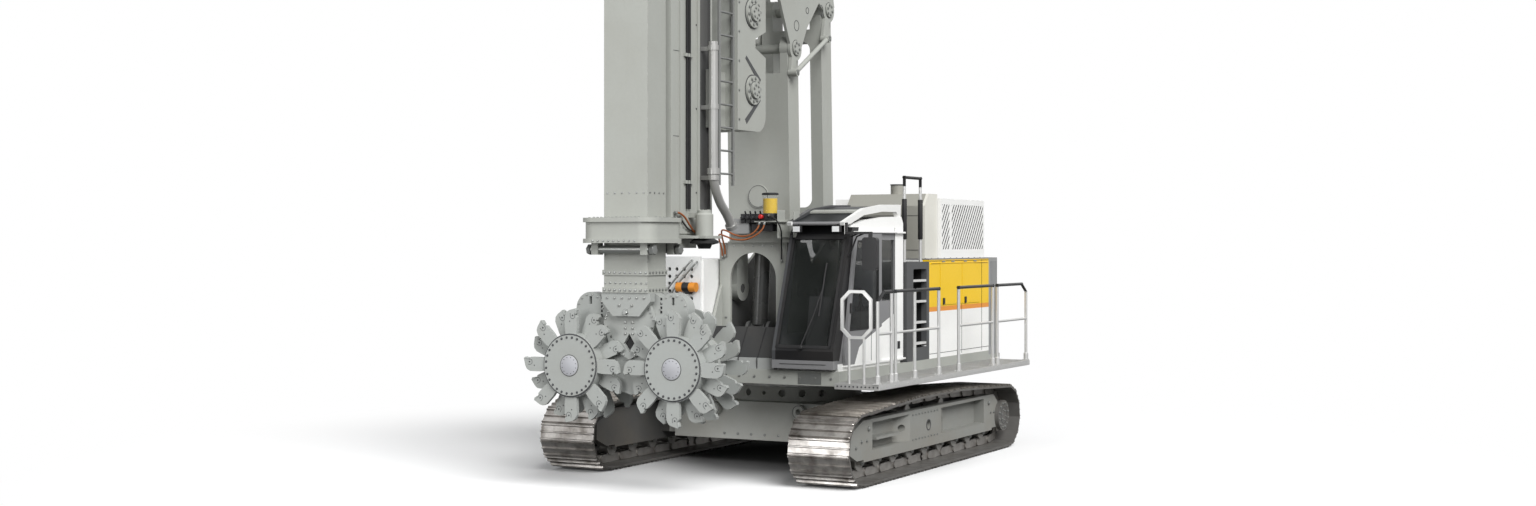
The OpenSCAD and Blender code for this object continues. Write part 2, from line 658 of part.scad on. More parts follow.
// a hood door in y and z, its rear top corner cut off by c
module flap_2d(f, z0, z1, c) {
    polygon(c[0] > 0 ? [[f[0], z0], [f[1], z0], [f[1], z1 - c[1]], [f[1] - c[0], z1], [f[0], z1]]
        : [[f[0], z0], [f[1], z0], [f[1], z1], [f[0], z1]]);
}
module hood_flap(i) {
    f = flap_y[i];
    color([0.93, 0.72, 0.10]) {
        along_x(half_w - panel_t + 4, half_w + 4)
            flap_2d([f[0] + 6, f[1] - 6], flap_z[0], flap_z[1] + 1.5, flap_cut[i]);
        along_x(half_w + 3, half_w + 20)
            round_rect([f[0] + 85, flap_z[0] + 6], [f[0] + 145, flap_z[0] + 96], 16);
    }
}
module hood_flap_front() {
    hood_flap(0);
}
module hood_flap_rear() {
    hood_flap(1);
}
module engine_block() {
    color([0.40, 0.41, 0.42]) {
        box([-700, 700], [1700, 2700], [deck_z1, 2350]);
        rod_y([0, 1850], 1350, 1701, 330);
    }
}
module ballast() {
    y1 = deck_y1 + ballast_d;
    color([0.52, 0.53, 0.52]) difference() {
        translate([0, 0, deck_z0 + 120]) linear_extrude(hood_z1 - deck_z0 - 120) difference() {
            polygon([[-half_w, deck_y1], [half_w, deck_y1], [half_w, y1 - 220], [half_w - 260, y1],
                [-half_w + 260, y1], [-half_w, y1 - 220]]);
        }
        for (k = [0 : 5]) for (s = [-1, 1])
            box([s * half_w - 25, s * half_w + 25], [deck_y1 + 60 + 50 * k, deck_y1 + 80 + 50 * k],
                [deck_z0 + 240, hood_z1 - 60]);
    }
}
module exhaust_box() {
    color([0.66, 0.65, 0.60]) {
        difference() {
            along_x(100, 1300) polygon([[1420, hood_z1], [1420, 3420], [1560, 3590], [1870, 3590],
                [1870, hood_z1]]);
            box([100 + panel_t, 1300 - panel_t], [1420 + panel_t, 1870 - panel_t], [hood_z1 - 1, 3400]);
        }
        rod_z([760, 1700], 3589, 3720, 95);
    }
}
slot_pitch = 88;
module louvre_box() {
    color([0.84, 0.84, 0.82]) difference() {
        box([-300, 1350], [1880, 3560], [hood_z1, 3530]);
        box([-300 + panel_t, 1350 - panel_t], [1880 + panel_t, 3560 - panel_t],
            [hood_z1 - 1, 3530 - panel_t]);
        for (f = [[1930, 2200], [2290, 3510]]) along_x(1330, 1370) intersection() {
            translate([f[0], hood_z1 + 125]) square([f[1] - f[0], 640]);
            for (k = [0 : 24]) translate([f[0] - 560 + slot_pitch * k, hood_z1 + 60]) rotate(-38)
                square([24, 1100]);
        }
        box([-200, 1250], [1980, 3460], [3500, 3531]);
    }
}
// tanks and valves on the right side
module right_housing() {
    color([0.80, 0.81, 0.80]) difference() {
        box([-half_w, -cheek_out - 30], [-1560, hood_y0], [deck_z1, hood_z1]);
        box([-half_w + 40, -cheek_out - 70], [-1520, hood_y0 - 40], [deck_z1 - 1, hood_z1 - 40]);
        for (y = [-1380, -560, 260]) box([-half_w - 1, -half_w + 12], [y, y + 760],
            [deck_z1 + 90, hood_z1 - 90]);
    }
}
module lamp_panel() {
    color([0.88, 0.88, 0.87]) {
        difference() {
            box([-half_w + 40, -cheek_out - 60], [-1600, -1560], [1880, hood_z1 + 40]);
            for (i = [0 : 6], j = [0 : 4])
                rod_y([-half_w + 150 + 110 * i, 2180 + 95 * j], -1601, -1559, 26);
        }
        // a round lamp on its bracket
        rod_x([-1680, 2330], -850, -570, 62);
        box([-740, -680], [-1681, -1599], [2240, 2300]);
    }
}
// length and fall of the slanting ends of the rail
rail_bend = 190;
rail_fall = 130;
// post places of the left walkway's rails, spans of its top and middle rails
post_y = [-1840, -1430, -1310, -710, 80, 770, 2040, 2220, 3400];
rail_y = [[-1840 + rail_bend, -1430], [-1310, -710], [-710, 80], [770, 2040], [2220, 3400 - rail_bend]];
mid_y = [[-1840, -1430], [-1310, -710], [-710, 80], [770, 2040], [2220, 3400]];
module walkway() {
    color([0.70, 0.70, 0.69]) {
        difference() {
            box([half_w, walk_x1], [-1870, 3450], [deck_z0 - 20, deck_z0 + 50]);
            for (k = [0 : 17])
                box([half_w + 60, walk_x1 - 60], [-1800 + 290 * k, -1560 + 290 * k],
                    [deck_z0 - 21, deck_z0 + 30]);
        }
    }
}
grab_y = [cab_y1 + 85, hood_y0 - 170];
// a rectangle with cut corners
module hoop_2d(a, b, c, d, k) {
    polygon([[a + k, c], [b - k, c], [b, c + k], [b, d - k], [b - k, d], [a + k, d], [a, d - k],
        [a, c + k]]);
}
module handrails() {
    x = walk_x1 - 12 - tube_r;
    z0 = deck_z0 + 50;
    color([0.75, 0.75, 0.74]) {
        for (y = post_y) rod_z([x, y], z0,
            y == post_y[0] || y == post_y[8] ? rail_z - rail_fall : rail_z, tube_r);
        for (k = rail_y) rod_y([x, rail_z - tube_r], k[0] - tube_r, k[1] + tube_r, tube_r);
        for (k = mid_y) rod_y([x, (rail_z + z0) / 2 + 40], k[0], k[1], tube_r - 4);
        // slanting ends
        for (k = [[post_y[0], 1], [post_y[8], -1]])
            translate([x, k[0], rail_z - rail_fall - 8])
            rotate([-k[1] * atan2(rail_bend, rail_fall - tube_r + 8), 0, 0])
            cylinder(h = norm([rail_bend, rail_fall - tube_r + 8]) + 6, r = tube_r - 1);
        // end hoop at the front of the walkway
        along_y(-1866, -1834) difference() {
            hoop_2d(half_w + 80, walk_x1 - 100, 1730, rail_z, 110);
            hoop_2d(half_w + 116, walk_x1 - 136, 1766, rail_z - 36, 95);
        }
        for (xx = [half_w + 190, walk_x1 - 210]) rod_z([xx, -1850], z0, 1735, tube_r - 4);
        // grab rail over the steps up to the roof
        for (y = grab_y) rod_z([half_w - 60, y], hood_z1 - 40, 3800, tube_r);
        rod_y([half_w - 60, 3800 - tube_r], grab_y[0] - tube_r, grab_y[1] + tube_r, tube_r);
    }
}

// an arm between two pins, drawn in y and z: a straight plate of depth d with a boss at each end
function bar_points(a, b, d) = let (v = (b - a) / norm(b - a), n = [v[1], -v[0]] * d / 2)
    [a + n, b + n, b - n, a - n];
module arm_2d(a, b, d) {
    polygon(bar_points(a, b, d));
    for (p = [a, b]) translate(p) circle(d / 2 + 14);
}
module arm_pins(a, b) {
    rod_x(a, -arm_half - 1, arm_half + 1, pin_r + pin_clear);
    rod_x(b, -arm_half - 1, arm_half + 1, pin_r + pin_clear);
}
module front_arm() {
    color([0.68, 0.69, 0.67]) difference() {
        along_x(-arm_half, arm_half) arm_2d(front_low, front_top, arm_d);
        along_x(-arm_half + 110, arm_half - 110) polygon(bar_points(front_low - arm_v * 0.2,
            front_low + arm_v * 0.8, arm_d - 2 * arm_t));
        box([-arm_half + 110, arm_half - 110], [front_low[0] - arm_d, front_low[0] + arm_d],
            [front_low[1] - arm_d, 2960]);
        box([-arm_half + 110, arm_half - 110], [front_top[0] - arm_d, front_top[0] + arm_d],
            [front_top[1] - 330, front_top[1] + arm_d]);
        arm_pins(front_low, front_top);
    }
    color([0.5, 0.5, 0.5]) {
        rod_x(lift_top, -arm_half + 60, arm_half - 60, eye_r);
        rod_y([0, 3510], front_low[0] - arm_d / 2 - 55, front_low[0] - arm_d / 2 - 20, 150);
    }
}
module rear_arm() {
    color([0.68, 0.69, 0.67]) difference() {
        along_x(-arm_half, arm_half) arm_2d(rear_low, rear_top, arm_d);
        along_y(rear_low[0] - 600, rear_low[0] + 600) round_rect([-arm_half + 170, rear_low[1] + 480],
            [arm_half - 170, rear_top[1] - 420], 120);
        box([-arm_half + 170, arm_half - 170], [rear_low[0] - arm_d, rear_low[0] + arm_d],
            [rear_low[1] - arm_d, rear_low[1] + 260]);
        box([-arm_half + 170, arm_half - 170], [rear_top[0] - arm_d, rear_top[0] + arm_d],
            [rear_top[1] - 260, rear_top[1] + arm_d]);
        arm_pins(rear_low, rear_top);
    }
}
// rocker head over both arms: side plates, cross tubes and pins
module head_2d() {
    difference() {
        union() {
            polygon([front_top + [-160, 40], front_top + [60, -150], front_top + [330, 300],
                rear_top + [-300, 60], rear_top + [40, -150], rear_top + [170, 60],
                tilt_low + [130, 60], tilt_low + [-120, 120], tilt_axis + [60, 190],
                    tilt_axis + [-170, 0], tilt_axis + [40, -180]]);
            for (p = [front_top, rear_top]) translate(p) circle(165);
            translate(tilt_axis) circle(190);
            translate(tilt_low) circle(150);
        }
        translate([-850, 6560]) circle(170);
    }
}
module head() {
    color([0.70, 0.71, 0.69]) {
        difference() {
            pair() along_x(cheek_in, cheek_out) head_2d();
            rod_x(tilt_axis, -cheek_out - 1, cheek_out + 1, pin_r + pin_clear);
        }
        rod_x([-900, 6200], -cheek_in - 1, cheek_in + 1, 90);
        rod_x([-420, 6750], -cheek_in - 1, cheek_in + 1, 90);
        rod_x(front_top, -cheek_out - 20, cheek_out + 20, pin_r);
        rod_x(rear_top, -cheek_out - 20, cheek_out + 20, pin_r);
        rod_x(tilt_low, -cheek_in - 1, cheek_in + 1, eye_r);
        // bracing bars under the side plates
        pair() {
            link_bar(cheek_out + 45, brace_a, brace_b, 32);
            for (p = [brace_a, brace_b]) rod_x(p, cheek_in, cheek_out + 80, 52);
            for (q = [[brace_a, front_top], [brace_b, rear_top]]) along_x(cheek_in, cheek_out)
                polygon([q[0] + [-50, -20], q[0] + [50, -20], q[1] + [90, 0], q[1] + [-90, 0]]);
        }
        for (p = [front_top, rear_top, tilt_axis], s = [-1, 1])
            rod_x(p, s * (cheek_out + 10) - 11, s * (cheek_out + 10) + 11, pin_r + 35);
    }
}

// cylinders: barrel with a foot eye, rod with a head eye
module barrel(x, a, b, r, share, eye, eye_w) {
    v = (b - a) / norm(b - a);
    n = norm(b - a) * share;
    difference() {
        union() {
            link_bar(x, a + v * 40, a + v * n, r);
            rod_x(a, x - eye_w / 2, x + eye_w / 2, eye + 38);
        }
        link_bar(x, a + v * (eye + 60), a + v * (n + 1), r * 0.6 + 0.1);
        rod_x(a, x - eye_w, x + eye_w, eye + pin_clear);
    }
}
module piston(x, a, b, r, share, eye, eye_w) {
    v = (b - a) / norm(b - a);
    n = norm(b - a) * share;
    difference() {
        union() {
            link_bar(x, a + v * n * 0.62, b - v * 40, r * 0.6);
            rod_x(b, x - eye_w / 2, x + eye_w / 2, eye + 50);
        }
        rod_x(b, x - eye_w, x + eye_w, eye + eye_play);
    }
}
module lift_barrel() {
    color([0.45, 0.46, 0.46]) barrel(0, lift_low, lift_top, 105, 0.66, 40, 200);
}
module lift_rod() {
    color([0.75, 0.76, 0.77]) piston(0, lift_low, lift_top, 105, 0.66, eye_r, 160);
}
module tilt_barrels() {
    color([0.45, 0.46, 0.46]) pair() barrel(310, tilt_low, tilt_top, 95, 0.68, eye_r, 150);
}
module tilt_rods() {
    color([0.75, 0.76, 0.77]) pair() piston(310, tilt_low, tilt_top, 95, 0.68, eye_r, 120);
}

// slide that the leader runs on: side plates, a front box and four claws round the rails
slide_z0 = 4290;
slide_z1 = 8700;
module leader_slide() {
    xo = arm_half;
    xi = arm_half - 50;
    claw_y1 = leader_y1 + rail_stem + rail_t + pad_gap;
    color([0.72, 0.73, 0.72]) {
        difference() {
            union() {
                pair() along_x(xi, xo) {
                    difference() {
                        polygon([[-2420, slide_z0], for (a = [-90 : 15 : 0])
                            [-1900 + 210 * cos(a), slide_z0 + 210 + 210 * sin(a)],
                            [-1690, 5230],
                            [-1960, 5330], [-1960, 5450], [-1690, 5560], [-1690, 6200], [-1540, 6560],
                            [-1540, 6840], [-1700, 7100], [-1640, 8300], [-1700, slide_z1 - 150],
                            [-1900, slide_z1], [-2420, slide_z1]]);
                        translate([-2100, 7500]) circle(150);
                    }
                    translate(tilt_axis) circle(185);
                }
                box([-xi - 1, xi + 1], [-2460, -2420], [slide_z0, slide_z1]);
                for (z = [slide_z0, 6300, slide_z1 - 40]) box([-xi - 1, xi + 1], [-2421, -2000],
                    [z, z + 40]);
                box([-300, 300], [claw_y1, -2459], [slide_z0, slide_z0 + 700]);
                box([-300, 300], [claw_y1, -2459], [slide_z1 - 700, slide_z1]);
                for (z = [[slide_z0, slide_z0 + 700], [slide_z1 - 700, slide_z1]]) pair() {
                    box([200, rail_out + slide_gap + 30], [claw_y1, claw_y1 + 30], z);
                    box([rail_out + slide_gap, rail_out + slide_gap + 30],
                        [leader_y1 + slide_gap, claw_y1 + 30], z);
                    box([leader_w / 2 + slide_gap, rail_out + slide_gap + 30],
                        [leader_y1 + slide_gap, leader_y1 + rail_stem - slide_gap], z);
                }
                for (z = [4800, 5758], s = [-1, 1]) {
                    rod_x([-2040, z], s * (xo + 15) - 16, s * (xo + 15) + 16, 180);
                    rod_x([-2040, z], s * (xo + 30) - 31, s * (xo + 30) + 31, 100);
                }
            }
        }
        rod_x(tilt_top, -xi - 1, xi + 1, eye_r);
        pair() rod_x(tilt_axis, xi + 1, cheek_out - 2, pin_r);
    }
}

// the leader: a hollow box with guide rails front and rear
module leader_box() {
    color([0.72, 0.73, 0.72]) {
        difference() {
            box([-leader_w / 2, leader_w / 2], [leader_y0, leader_y1], [leader_z0, leader_z1]);
            box([-leader_w / 2 + leader_t, leader_w / 2 - leader_t],
                [leader_y0 + leader_t, leader_y1 - leader_t], [leader_z0 - 1, leader_z1 + 1]);
        }
        // stiffening ribs down both sides, with a cross plate at each joint of the sections
        pair() {
            for (y = [leader_y0 + 150, leader_y1 - 200])
                box([leader_w / 2 - 1, leader_w / 2 + rib], [y, y + 50], [leader_z0 + 60, leader_z1]);
            for (z = [leader_z0 + 60, 8900, 13400, 17900])
                box([leader_w / 2 - 1, leader_w / 2 + rib], [leader_y0 + 20, leader_y1 - 70],
                    [z, z + 60]);
        }
        pair() {
            box([rail_in + 40, leader_w / 2], [leader_y1 - 1, leader_y1 + rail_stem + 1],
                [leader_z0, leader_z1]);
            box([rail_in, rail_out], [leader_y1 + rail_stem, leader_y1 + rail_stem + rail_t],
                [leader_z0, leader_z1]);
            box([rail_in + 40, leader_w / 2], [leader_y0 - rail_stem - 1, leader_y0 + 1],
                [leader_z0, leader_z1]);
            box([rail_in, rail_out], [leader_y0 - rail_stem - rail_t, leader_y0 - rail_stem],
                [leader_z0, leader_z1]);
        }
    }
}
module leader_ladder() {
    x = rail_out + 75;
    color([0.60, 0.61, 0.61]) {
        for (y = [-2820, -2480]) box([x - 12, x + 13], [y - 20, y + 20], [3600, 16400]);
        for (k = [0 : floor(12600 / rung_pitch)]) rod_y([x, 3740 + rung_pitch * k], -2801, -2499, 13);
        for (z = [3650, 9900, 12400, 14900, 16250])
            box([leader_w / 2, x - 11], [leader_y1 - 60, leader_y1 - 20], [z, z + 60]);
        for (z = [3650, 9900, 12400, 14900, 16250])
            box([x - 12, x + 13], [leader_y1 - 60, -2800], [z, z + 60]);
    }
}
module leader_head() {
    z0 = leader_z1;
    color([0.72, 0.73, 0.72]) {
        difference() {
            pair() along_x(260, 300) polygon([[leader_y0, z0], [leader_y0 - 420, z0 + 340],
                [leader_y0 - 420, z0 + 620], [leader_y0, z0 + 900],
                [leader_y1 + 350, z0 + 900], [leader_y1 + 480, z0 + 700], [leader_y1, z0]]);
        }
        box([-300, 300], [leader_y0, leader_y1], [z0, z0 + 40]);
        for (p = [[leader_y0 - 240, z0 + 480], [leader_y1 + 260, z0 + 640]]) rod_x(p, -261, 261, 50);
    }
    color([0.3, 0.3, 0.3]) for (p = [[leader_y0 - 240, z0 + 480], [leader_y1 + 260, z0 + 640]],
        x = [-120, 120])
        translate([x, p[0], p[1]]) rotate([0, 90, 0]) rotate_extrude() difference() {
            translate([45, -35]) square([255, 70]);
            translate([312, 0]) circle(30);
        }
}
module winch() {
    p = [leader_y1 + 560, 10600];
    color([0.55, 0.56, 0.55]) {
        pair() along_x(260, 300) polygon([[leader_y1 + rail_stem + rail_t, p[1] - 480],
            [p[0] + 80, p[1] - 330], [p[0] + 300, p[1]], [p[0] + 80, p[1] + 330],
            [leader_y1 + rail_stem + rail_t, p[1] + 480]]);
        rod_x(p, -261, 261, 190);
        for (x = [-230, 230]) rod_x(p, x - 15, x + 15, 290);
        rod_x(p, -520, -299, 140);
    }
}
// guide at the leader's foot: a collar round the kelly on a bracket
guide_z = [2900, 3190];
collar_w = 475;
collar_d = 430;
module foot_guide() {
    hw = kelly_w / 2;
    hd = kelly_d / 2;
    color([0.74, 0.75, 0.74]) {
        difference() {
            union() {
                translate([0, 0, guide_z[0]]) linear_extrude(guide_z[1] - guide_z[0])
                    round_rect([-collar_w, kelly_y - collar_d], [collar_w, kelly_y + 330], 170);
                for (z = [guide_z[0], guide_z[1] - 50]) translate([0, 0, z]) linear_extrude(50)
                    round_rect([-collar_w - 28, kelly_y - collar_d - 28],
                        [collar_w + 28, kelly_y + 345], 190);
                box([-260, 260], [kelly_y + 300, leader_y0 + 620], [guide_z[0] - 60, leader_z0]);
            }
            box([-hw - slide_gap, hw + slide_gap], [kelly_y - hd - slide_gap,
                kelly_y + hd + slide_gap], [guide_z[0] - 100, guide_z[1] + 1]);
            box([-rail_out - 10, rail_out + 10], [leader_y0 - rail_stem - rail_t - 4, leader_y1 + 200],
                [leader_z0, guide_z[1] + 1]);
        }
        // clamp rods under the collar, each in two lugs
        for (t = [-1, 1]) {
            rod_x([kelly_y + t * 290, guide_z[0] - 75], -430, 430, 40);
            for (s = [-1, 1])
                box([s * 330 - 45, s * 330 + 45], [kelly_y + t * 290 - 55, kelly_y + t * 290 + 55],
                    [guide_z[0] - 135, guide_z[0] + 1]);
        }
    }
}
kelly_z0 = 2330;
module kelly_box() {
    hw = kelly_w / 2;
    hd = kelly_d / 2;
    color([0.74, 0.75, 0.75]) {
        difference() {
            box([-hw, hw], [kelly_y - hd, kelly_y + hd], [kelly_z0 + 60, kelly_z1]);
            box([-hw + kelly_t, hw - kelly_t], [kelly_y - hd + kelly_t, kelly_y + hd - kelly_t],
                [kelly_z0 + 59, kelly_z1 + 1]);
        }
        box([-hw - 15, hw + 15], [kelly_y - hd - 15, kelly_y + hd + 15], [kelly_z0, kelly_z0 + 61]);
        box([-hw - 15, hw + 15], [kelly_y - hd - 15, kelly_y + hd + 15],
            [kelly_z0 + 200, kelly_z0 + 260]);
    }
}
// sled that carries the kelly's top along the front rails
module kelly_sled() {
    z = [kelly_z1 - 1300, kelly_z1 + 300];
    hd = kelly_d / 2;
    ry = leader_y0 - rail_stem - rail_t;
    color([0.70, 0.71, 0.70]) {
        box([-260, 260], [kelly_y - hd, kelly_y + hd], [kelly_z1, z[1]]);
        box([-rail_out - slide_gap - 40, rail_out + slide_gap + 40], [kelly_y + hd, ry - pad_gap], z);
        pair() {
            box([rail_out + slide_gap, rail_out + slide_gap + 40],
                [ry - slide_gap - 1, leader_y0 - slide_gap], z);
            box([leader_w / 2 + 12, rail_out + slide_gap + 40],
                [leader_y0 - rail_stem + slide_gap, leader_y0 - slide_gap], z);
        }
        box([-120, 120], [kelly_y - 60, kelly_y + 60], [z[1] - 1, z[1] + 240]);
    }
}

// gear shield between the front and rear drums: two ears over the drums, and a forked plate on both faces
ear_x = 560;
ear_z = 2130;
ear_r = 200;
module shield_2d() {
    for (s = [-1, 1]) {
        translate([s * axle_x, axle_z]) circle(330);
        translate([s * ear_x, ear_z]) circle(ear_r);
        polygon([[s * (axle_x + 322), axle_z + 70], [s * (ear_x + ear_r - 4), ear_z - 40],
            [s * 300, kelly_z0], [0, kelly_z0],
            [0, axle_z + 150], [s * (axle_x - 250), axle_z - 215]]);
    }
    polygon([[axle_x - 250, axle_z - 214], [0, axle_z - 330], [250 - axle_x, axle_z - 214],
        [-axle_x, axle_z + 100],
        [0, axle_z + 300], [axle_x, axle_z + 100]]);
}
module fork_2d() {
    difference() {
        polygon([[-230, kelly_z0], [230, kelly_z0], [350, 1990], [285, 1760], [150, 1630], [0, 1560],
            [-150, 1630],
            [-285, 1760], [-350, 1990]]);
        polygon([[0, 1640], [75, 1740], [0, 1860], [-75, 1740]]);
    }
}
module cutter_frame() {
    fork_t = 46;
    color([0.58, 0.59, 0.58]) {
        along_y(kelly_y - shield_half, kelly_y + shield_half) difference() {
            shield_2d();
            for (s = [-1, 1]) translate([s * axle_x, axle_z]) circle(120 + pin_clear);
            // a slot in each ear
            for (s = [-1, 1]) translate([s * ear_x, 2234]) square([36, 90], center = true);
        }
        for (s = [-1, 1]) along_y(kelly_y + s * (shield_half + fork_t / 2) - fork_t / 2 - 1,
            kelly_y + s * (shield_half + fork_t / 2) + fork_t / 2 + 1) fork_2d();
        // flanged block that carries the kelly
        for (s = [-1, 1]) along_y(kelly_y + s * 150 - 50, kelly_y + s * 150 + 50)
            polygon([[-330, kelly_z0], [330, kelly_z0], [330, 2230], [180, 2060], [-180, 2060],
                [-330, 2230]]);
    }
}
// one paddle in x and z: a plate with its tip turned towards the rotation
paddle_w = 84;
module paddle_2d() {
    polygon([[drum_r - 40, -paddle_w + 16], [drum_r + 60, -paddle_w], [tooth_r - 90, -paddle_w],
        [tooth_r - 44, -paddle_w + 24],
        [tooth_r - 22, -22], [tooth_r, paddle_w - 18], [tooth_r - 24, paddle_w],
            [tooth_r - 74, paddle_w - 26],
        [tooth_r - 104, paddle_w], [drum_r + 60, paddle_w], [drum_r - 40, paddle_w - 16]]);
}
// a drum with its two rows of paddles, front face at y0, spin = 1 or -1
module drum(y0, dir, spin) {
    w = drum_half - shield_half - 12;
    rod_y([0, 0], min(y0, y0 + dir * w), max(y0, y0 + dir * w), drum_r);
    for (row = [[12, 46, 0], [128, 46, 180 / paddle_n]])
        along_y(min(y0 + dir * row[0], y0 + dir * (row[0] + row[1])), max(y0 + dir * row[0],
            y0 + dir * (row[0] + row[1])))
            for (i = [0 : paddle_n - 1]) rotate(360 * i / paddle_n + row[2])
                mirror([0, spin < 0 ? 1 : 0]) paddle_2d();
}
module cutter(s) {
    translate([s * axle_x, kelly_y, axle_z]) {
        drum(-drum_half, 1, s);
        drum(drum_half, -1, s);
        rod_y([0, 0], -drum_half - 22, drum_half + 22, 120);
        for (t = [-1, 1]) rod_y([0, 0], t * (drum_half + 8) - 9, t * (drum_half + 8) + 9, drum_r - 20);
    }
}
module cutter_left() {
    color([0.66, 0.66, 0.66]) cutter(1);
}
module cutter_right() {
    color([0.66, 0.66, 0.66]) cutter(-1);
}

carbody();
slew_ring();
side_frame_left();
side_frame_right();
track_left();
track_right();
idlers();
sprockets();
rollers();
lashing_eyes();
deck_frame();
portal();
front_cover();
cab_shell();
cab_glass();
cab_interior();
cab_door();
cab_door_glass();
cab_visor();
step_panel();
engine_hood();
hood_flap_front();
hood_flap_rear();
engine_block();
ballast();
exhaust_box();
louvre_box();
right_housing();
lamp_panel();
walkway();
handrails();
front_arm();
rear_arm();
head();
lift_barrel();
lift_rod();
tilt_barrels();
tilt_rods();
leader_slide();
leader_box();
leader_ladder();
leader_head();
winch();
foot_guide();
kelly_box();
kelly_sled();
cutter_frame();
cutter_left();
cutter_right();
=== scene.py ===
import json
import math

import bmesh
import bpy
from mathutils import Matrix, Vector


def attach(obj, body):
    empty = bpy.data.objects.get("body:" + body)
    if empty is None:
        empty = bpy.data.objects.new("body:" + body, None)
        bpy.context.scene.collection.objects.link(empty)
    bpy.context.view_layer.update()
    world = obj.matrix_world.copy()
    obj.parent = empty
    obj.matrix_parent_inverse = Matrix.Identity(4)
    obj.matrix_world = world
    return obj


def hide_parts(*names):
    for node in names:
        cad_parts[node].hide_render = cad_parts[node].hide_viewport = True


bpy.ops.wm.read_factory_settings(use_empty=True)
scene = bpy.context.scene
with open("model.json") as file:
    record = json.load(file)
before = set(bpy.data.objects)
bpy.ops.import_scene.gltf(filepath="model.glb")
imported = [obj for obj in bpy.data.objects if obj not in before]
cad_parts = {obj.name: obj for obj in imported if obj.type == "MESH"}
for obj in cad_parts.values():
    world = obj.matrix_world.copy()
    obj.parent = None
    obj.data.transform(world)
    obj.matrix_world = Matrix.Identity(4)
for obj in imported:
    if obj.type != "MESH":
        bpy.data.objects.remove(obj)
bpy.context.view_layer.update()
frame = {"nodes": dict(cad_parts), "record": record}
nodes = frame["nodes"]

# values used in several sections, in metres
X, Y, Z = (1, 0, 0), (0, 1, 0), (0, 0, 1)
FRONT = (0, -1, 0)
SIDES = (-1, 1)
ALL = 99.0
KELLY_Y, AXLE_X, AXLE_Z = -4.06, 0.69, 1.48


def span(middle, half):
    """Lower and upper limit round a middle."""
    return (middle - half, middle + half)


def up(low, height):
    """Lower and upper limit from a foot."""
    return (low, low + height)


# shader nodes
class Net:
    """Short ways to add nodes to one node tree."""

    def __init__(self, tree):
        self.tree = tree

    def add(self, kind, **settings):
        node = self.tree.nodes.new(kind)
        for key, value in settings.items():
            setattr(node, key, value)
        return node

    def put(self, value, socket):
        """Links an output to a socket, or sets the socket to a plain value."""
        if isinstance(value, bpy.types.NodeSocket):
            self.tree.links.new(value, socket)
        else:
            socket.default_value = value

    def math(self, operation, a, b):
        node = self.add("ShaderNodeMath", operation=operation)
        self.put(a, node.inputs[0])
        self.put(b, node.inputs[1])
        return node.outputs["Value"]

    def vector(self, operation, a, b=(0, 0, 0)):
        node = self.add("ShaderNodeVectorMath", operation=operation)
        self.put(a, node.inputs[0])
        self.put(b, node.inputs[1])
        return node

    def place(self):
        return self.add("ShaderNodeTexCoord").outputs["Object"]

    def noise(self, vector, scale, detail):
        node = self.add("ShaderNodeTexNoise")
        self.put(scale, node.inputs["Scale"])
        self.put(detail, node.inputs["Detail"])
        self.put(vector, node.inputs["Vector"])
        return node.outputs["Fac"]

    def remap(self, value, low, high, to_low, to_high, kind="LINEAR"):
        node = self.add("ShaderNodeMapRange", interpolation_type=kind)
        limits = {"From Min": low, "From Max": high, "To Min": to_low, "To Max": to_high}
        for key, limit in limits.items():
            self.put(limit, node.inputs[key])
        self.put(value, node.inputs["Value"])
        return node.outputs["Result"]

    def mix(self, factor, a, b):
        node = self.add("ShaderNodeMix", data_type="RGBA")
        self.put(factor, node.inputs["Factor"])
        for key, value in (("A", a), ("B", b)):
            self.put((*value, 1) if isinstance(value, tuple) else value, node.inputs[key])
        return node.outputs["Result"]

    def mix_shader(self, factor, first, second):
        node = self.add("ShaderNodeMixShader")
        for socket, value in zip(node.inputs, (factor, first, second)):
            self.put(value, socket)
        return node.outputs["Shader"]

    def inside(self, place, limits):
        """1 where each dot product of the place lies between its limits."""
        mask = None
        for direction, low, high in limits:
            reach = self.vector("DOT_PRODUCT", place, direction).outputs["Value"]
            above = self.math("GREATER_THAN", reach, low)
            both = self.math("MULTIPLY", above, self.math("LESS_THAN", reach, high))
            mask = both if mask is None else self.math("MULTIPLY", mask, both)
        return mask


# materials
SLOW_DETAIL, FINE_SCALE, FINE_DETAIL, BUMP_DETAIL = 6, 26, 4, 2
DIRT_FROM, DIRT_TO = 0.42, 0.75
STREAK_FROM, STREAK_TO, STREAK_DETAIL, STREAK_SQUASH = 0.56, 0.8, 4, (9, 9, 0.5)
ROUGH_LESS, ROUGH_MORE, ROUGH_LEAST = 0.08, 0.14, 0.05
BUMP_DEPTH = 0.004


def dirt_share(net, place, slow, dirt, streak, mud):
    """How much of the dirt colour shows: slow patches, rain streaks and mud that fades with height."""
    share = net.remap(slow, DIRT_FROM, DIRT_TO, 0.0, dirt)
    if streak:
        squashed = net.vector("MULTIPLY", place, STREAK_SQUASH).outputs["Vector"]
        lines = net.noise(squashed, 1.0, STREAK_DETAIL)
        share = net.math("ADD", share, net.remap(lines, STREAK_FROM, STREAK_TO, 0.0, streak))
    if mud:
        height = net.add("ShaderNodeSeparateXYZ")
        net.put(place, height.inputs["Vector"])
        low_down = net.remap(height.outputs["Z"], mud[0], 0.0, 0.0, mud[1])
        share = net.math("ADD", share, net.math("MULTIPLY", slow, low_down))
    return share


